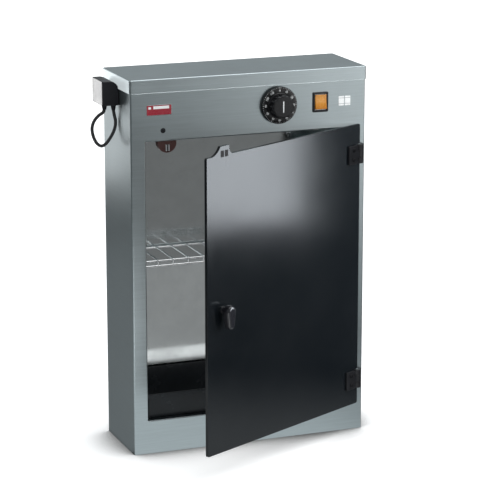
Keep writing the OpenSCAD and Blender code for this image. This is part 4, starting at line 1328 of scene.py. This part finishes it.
def finish_nodes():
    """Materials for the CAD nodes that stay as they are."""
    finishes = {
        "back_panel": STEEL_BACK, "bottom_pan": STEEL_INNER, "partition": STEEL_INNER,
        "chamber_floor": STEEL_INNER, "rack_rail_left": STEEL_INNER, "rack_rail_right": STEEL_INNER,
        "catch_magnet": MAGNET,
        "uv_lamp_tube": GLASS, "lamp_caps": CAP_METAL, "lamp_pins": BRASS,
        "lampholder_left": SOCKET, "lampholder_right": SOCKET, "starter": SOCKET, "starter_holder": SOCKET,
        "ballast": BALLAST, "terminal_block": CREAM, "wiring": SHEATH, "timer_body": CREAM,
        "timer_screws": SCREW_STEEL, "timer_shaft": ZINC, "power_box_screws": SCREW_BLACK,
        "hinge_pins": SCREW_STEEL, "hinge_fixings": ZINC, "knob_screw": SCREW_STEEL,
    }
    for name, material in finishes.items():
        obj = frame["nodes"][name]
        for holder in obj.material_slots:
            holder.material = material
        if not obj.material_slots:
            obj.data.materials.append(material)


# ---------------------------------------------------------------- studio

def softbox(name, place, aim, size, power, colour=(1, 1, 1)):
    """A soft light that the camera itself doesn't see."""
    data = bpy.data.lights.new(name, "AREA")
    data.shape = "RECTANGLE"
    data.size, data.size_y = size
    data.energy = power
    data.color = colour
    obj = link_new(name, data)
    obj.location = place
    obj.rotation_mode = "QUATERNION"
    obj.rotation_quaternion = (Vector(aim) - Vector(place)).to_track_quat("-Z", "Y")
    obj.visible_camera = False
    return obj


def group(name, pieces):
    """A collection of the named pieces."""
    made = bpy.data.collections.new(name)
    for each in pieces:
        made.objects.link(bpy.data.objects[each])
    return made


def stage_sheet(name, low, high, z):
    """A flat sheet of the studio, which isn't part of the cabinet."""
    bm = bmesh.new()
    corners = [(low[0], low[1]), (high[0], low[1]), (high[0], high[1]), (low[0], high[1])]
    bm.faces.new([bm.verts.new((x, y, z)) for x, y in corners])
    obj = link_new(name, to_mesh(bm, name))
    return obj


def glowing(name, colour=(1, 1, 1, 1), **values):
    """A paint that glows and doesn't shine."""
    return Shader(name, Specular_IOR_Level=0.0, Emission_Color=colour, **values)


def floor():
    """A white floor that glows, a little less near the cabinet, so that it stays white; a painted contact
    shadow from ambient occlusion darkens its glow and its colour close to the cabinet.
    """
    obj = stage_sheet("floor", (-40, -40), (40, 40), -0.2 * MM)
    shader = glowing("floor_paint", Roughness=0.9)
    away = shader.node("ShaderNodeTexGradient", Vector=shader.place((0.25, 0.25, 0.25)))
    away.gradient_type = "SPHERICAL"
    # Ambient occlusion from the cabinet drives a painted contact shadow on the floor
    near = shader.node("ShaderNodeAmbientOcclusion", Distance=0.09)
    near.samples = 8
    shut_in, open_air = 0.32, 0.97
    # Painted contact shadow: the floor's glow falls to almost nothing where the cabinet is close
    painted_shadow_glow = shader.span(near.outputs["AO"], 0.03, 1.0, shut_in, open_air)
    lit = shader.span(away.outputs["Fac"], 1.1, 0.64, 0.1, 0.8)
    shader.set("Emission Strength", shader.add(painted_shadow_glow, lit, "MULTIPLY"))
    grit = shader.noise(3)
    paint = shader.mix(shader.span(grit, 0, 1), (0.80, 0.80, 0.80), (0.84, 0.84, 0.84))
    # Painted contact shadow: the floor's colour goes to near black where the cabinet is close
    painted_shadow_mask = shader.span(near.outputs["AO"], 0, 1, shut_in, open_air)
    shader.set("Base Color", shader.mix(painted_shadow_mask, (0.06, 0.06, 0.06), paint))
    obj.data.materials.append(shader.material)
    obj.visible_glossy = False


def table_card(name, low, high, strength, fade):
    """What the steel mirrors of the floor: bright close to the cabinet, fading ahead and on the right."""
    obj = stage_sheet(name, low, high, -0.6 * MM)
    shader = glowing("card", (0.93, 0.98, 1, 1), Base_Color=(0, 0, 0, 1))
    where = shader.node("ShaderNodeSeparateXYZ", Vector=shader.place())
    near, far = strength
    ahead = shader.span(where.outputs["Y"], far, near, *CARD_FADE_Y)
    across = shader.span(where.outputs["X"], 1.0, 0.0, fade[1], fade[0])
    shader.set("Emission Strength", shader.add(ahead, across, "MULTIPLY"))
    obj.data.materials.append(shader.material)
    obj.visible_camera = False
    obj.visible_diffuse = False
    obj.visible_shadow = False
    obj.visible_transmission = False


def backdrop():
    """A white dome that only the camera sees."""
    bm = bmesh.new()
    bmesh.ops.create_icosphere(bm, subdivisions=4, radius=30)
    obj = link_new("backdrop", to_mesh(bm, "backdrop"))
    shader = glowing("backdrop_paint", Base_Color=(0, 0, 0, 1), Emission_Strength=1.1)
    obj.data.materials.append(shader.material)
    obj.visible_diffuse = False
    obj.visible_glossy = False
    obj.visible_shadow = False


def surround():
    """The studio's walls: darker below and brighter above."""
    world = bpy.data.worlds.new("surround")
    world.use_nodes = True
    bpy.context.scene.world = world
    tree = world.node_tree
    coords = tree.nodes.new("ShaderNodeTexCoord")
    parts = tree.nodes.new("ShaderNodeSeparateXYZ")
    tree.links.new(coords.outputs["Generated"], parts.inputs[0])
    ramp = tree.nodes.new("ShaderNodeMapRange")
    ramp.interpolation_type = "SMOOTHSTEP"
    ends = zip(("From Min", "From Max", "To Min", "To Max"), (*WALL_CHANGE, WALL_LOW, WALL_HIGH))
    for key, value in ends:
        ramp.inputs[key].default_value = value
    tree.links.new(parts.outputs["Z"], ramp.inputs["Value"])
    sky = tree.nodes["Background"]
    sky.inputs["Color"].default_value = (0.90, 0.97, 1.0, 1)
    tree.links.new(ramp.outputs["Result"], sky.inputs["Strength"])


def studio():
    """A white floor and backdrop, darker walls for the steel to mirror, and soft lights."""
    floor()
    for name, values in CARDS.items():
        table_card(name, *values)
    backdrop()
    surround()
    others = [obj.name for obj in bpy.data.objects if obj.type == "MESH" and obj.name not in SHELLS]
    lit = {**LIT, "right_parts": others}
    for name, values in LIGHTS.items():
        light = softbox(name, *values)
        if name in lit:
            light.light_linking.receiver_collection = group(name + "_receivers", lit[name])
        if name in SHADED_BY:
            light.light_linking.blocker_collection = group(name + "_blockers", SHADED_BY[name])
    bpy.context.scene.view_settings.view_transform = "Standard"


add_camera()
link_cord()
casing()
lid()
rear_screws()
badge()
info_labels()
sensor_and_catch()
timer_knob()
timer_collar()
switch()
supply_box()
door_panel()
door_pull()
strike()
hinges()
wire_rack()
drip_tray()
finish_nodes()
studio()
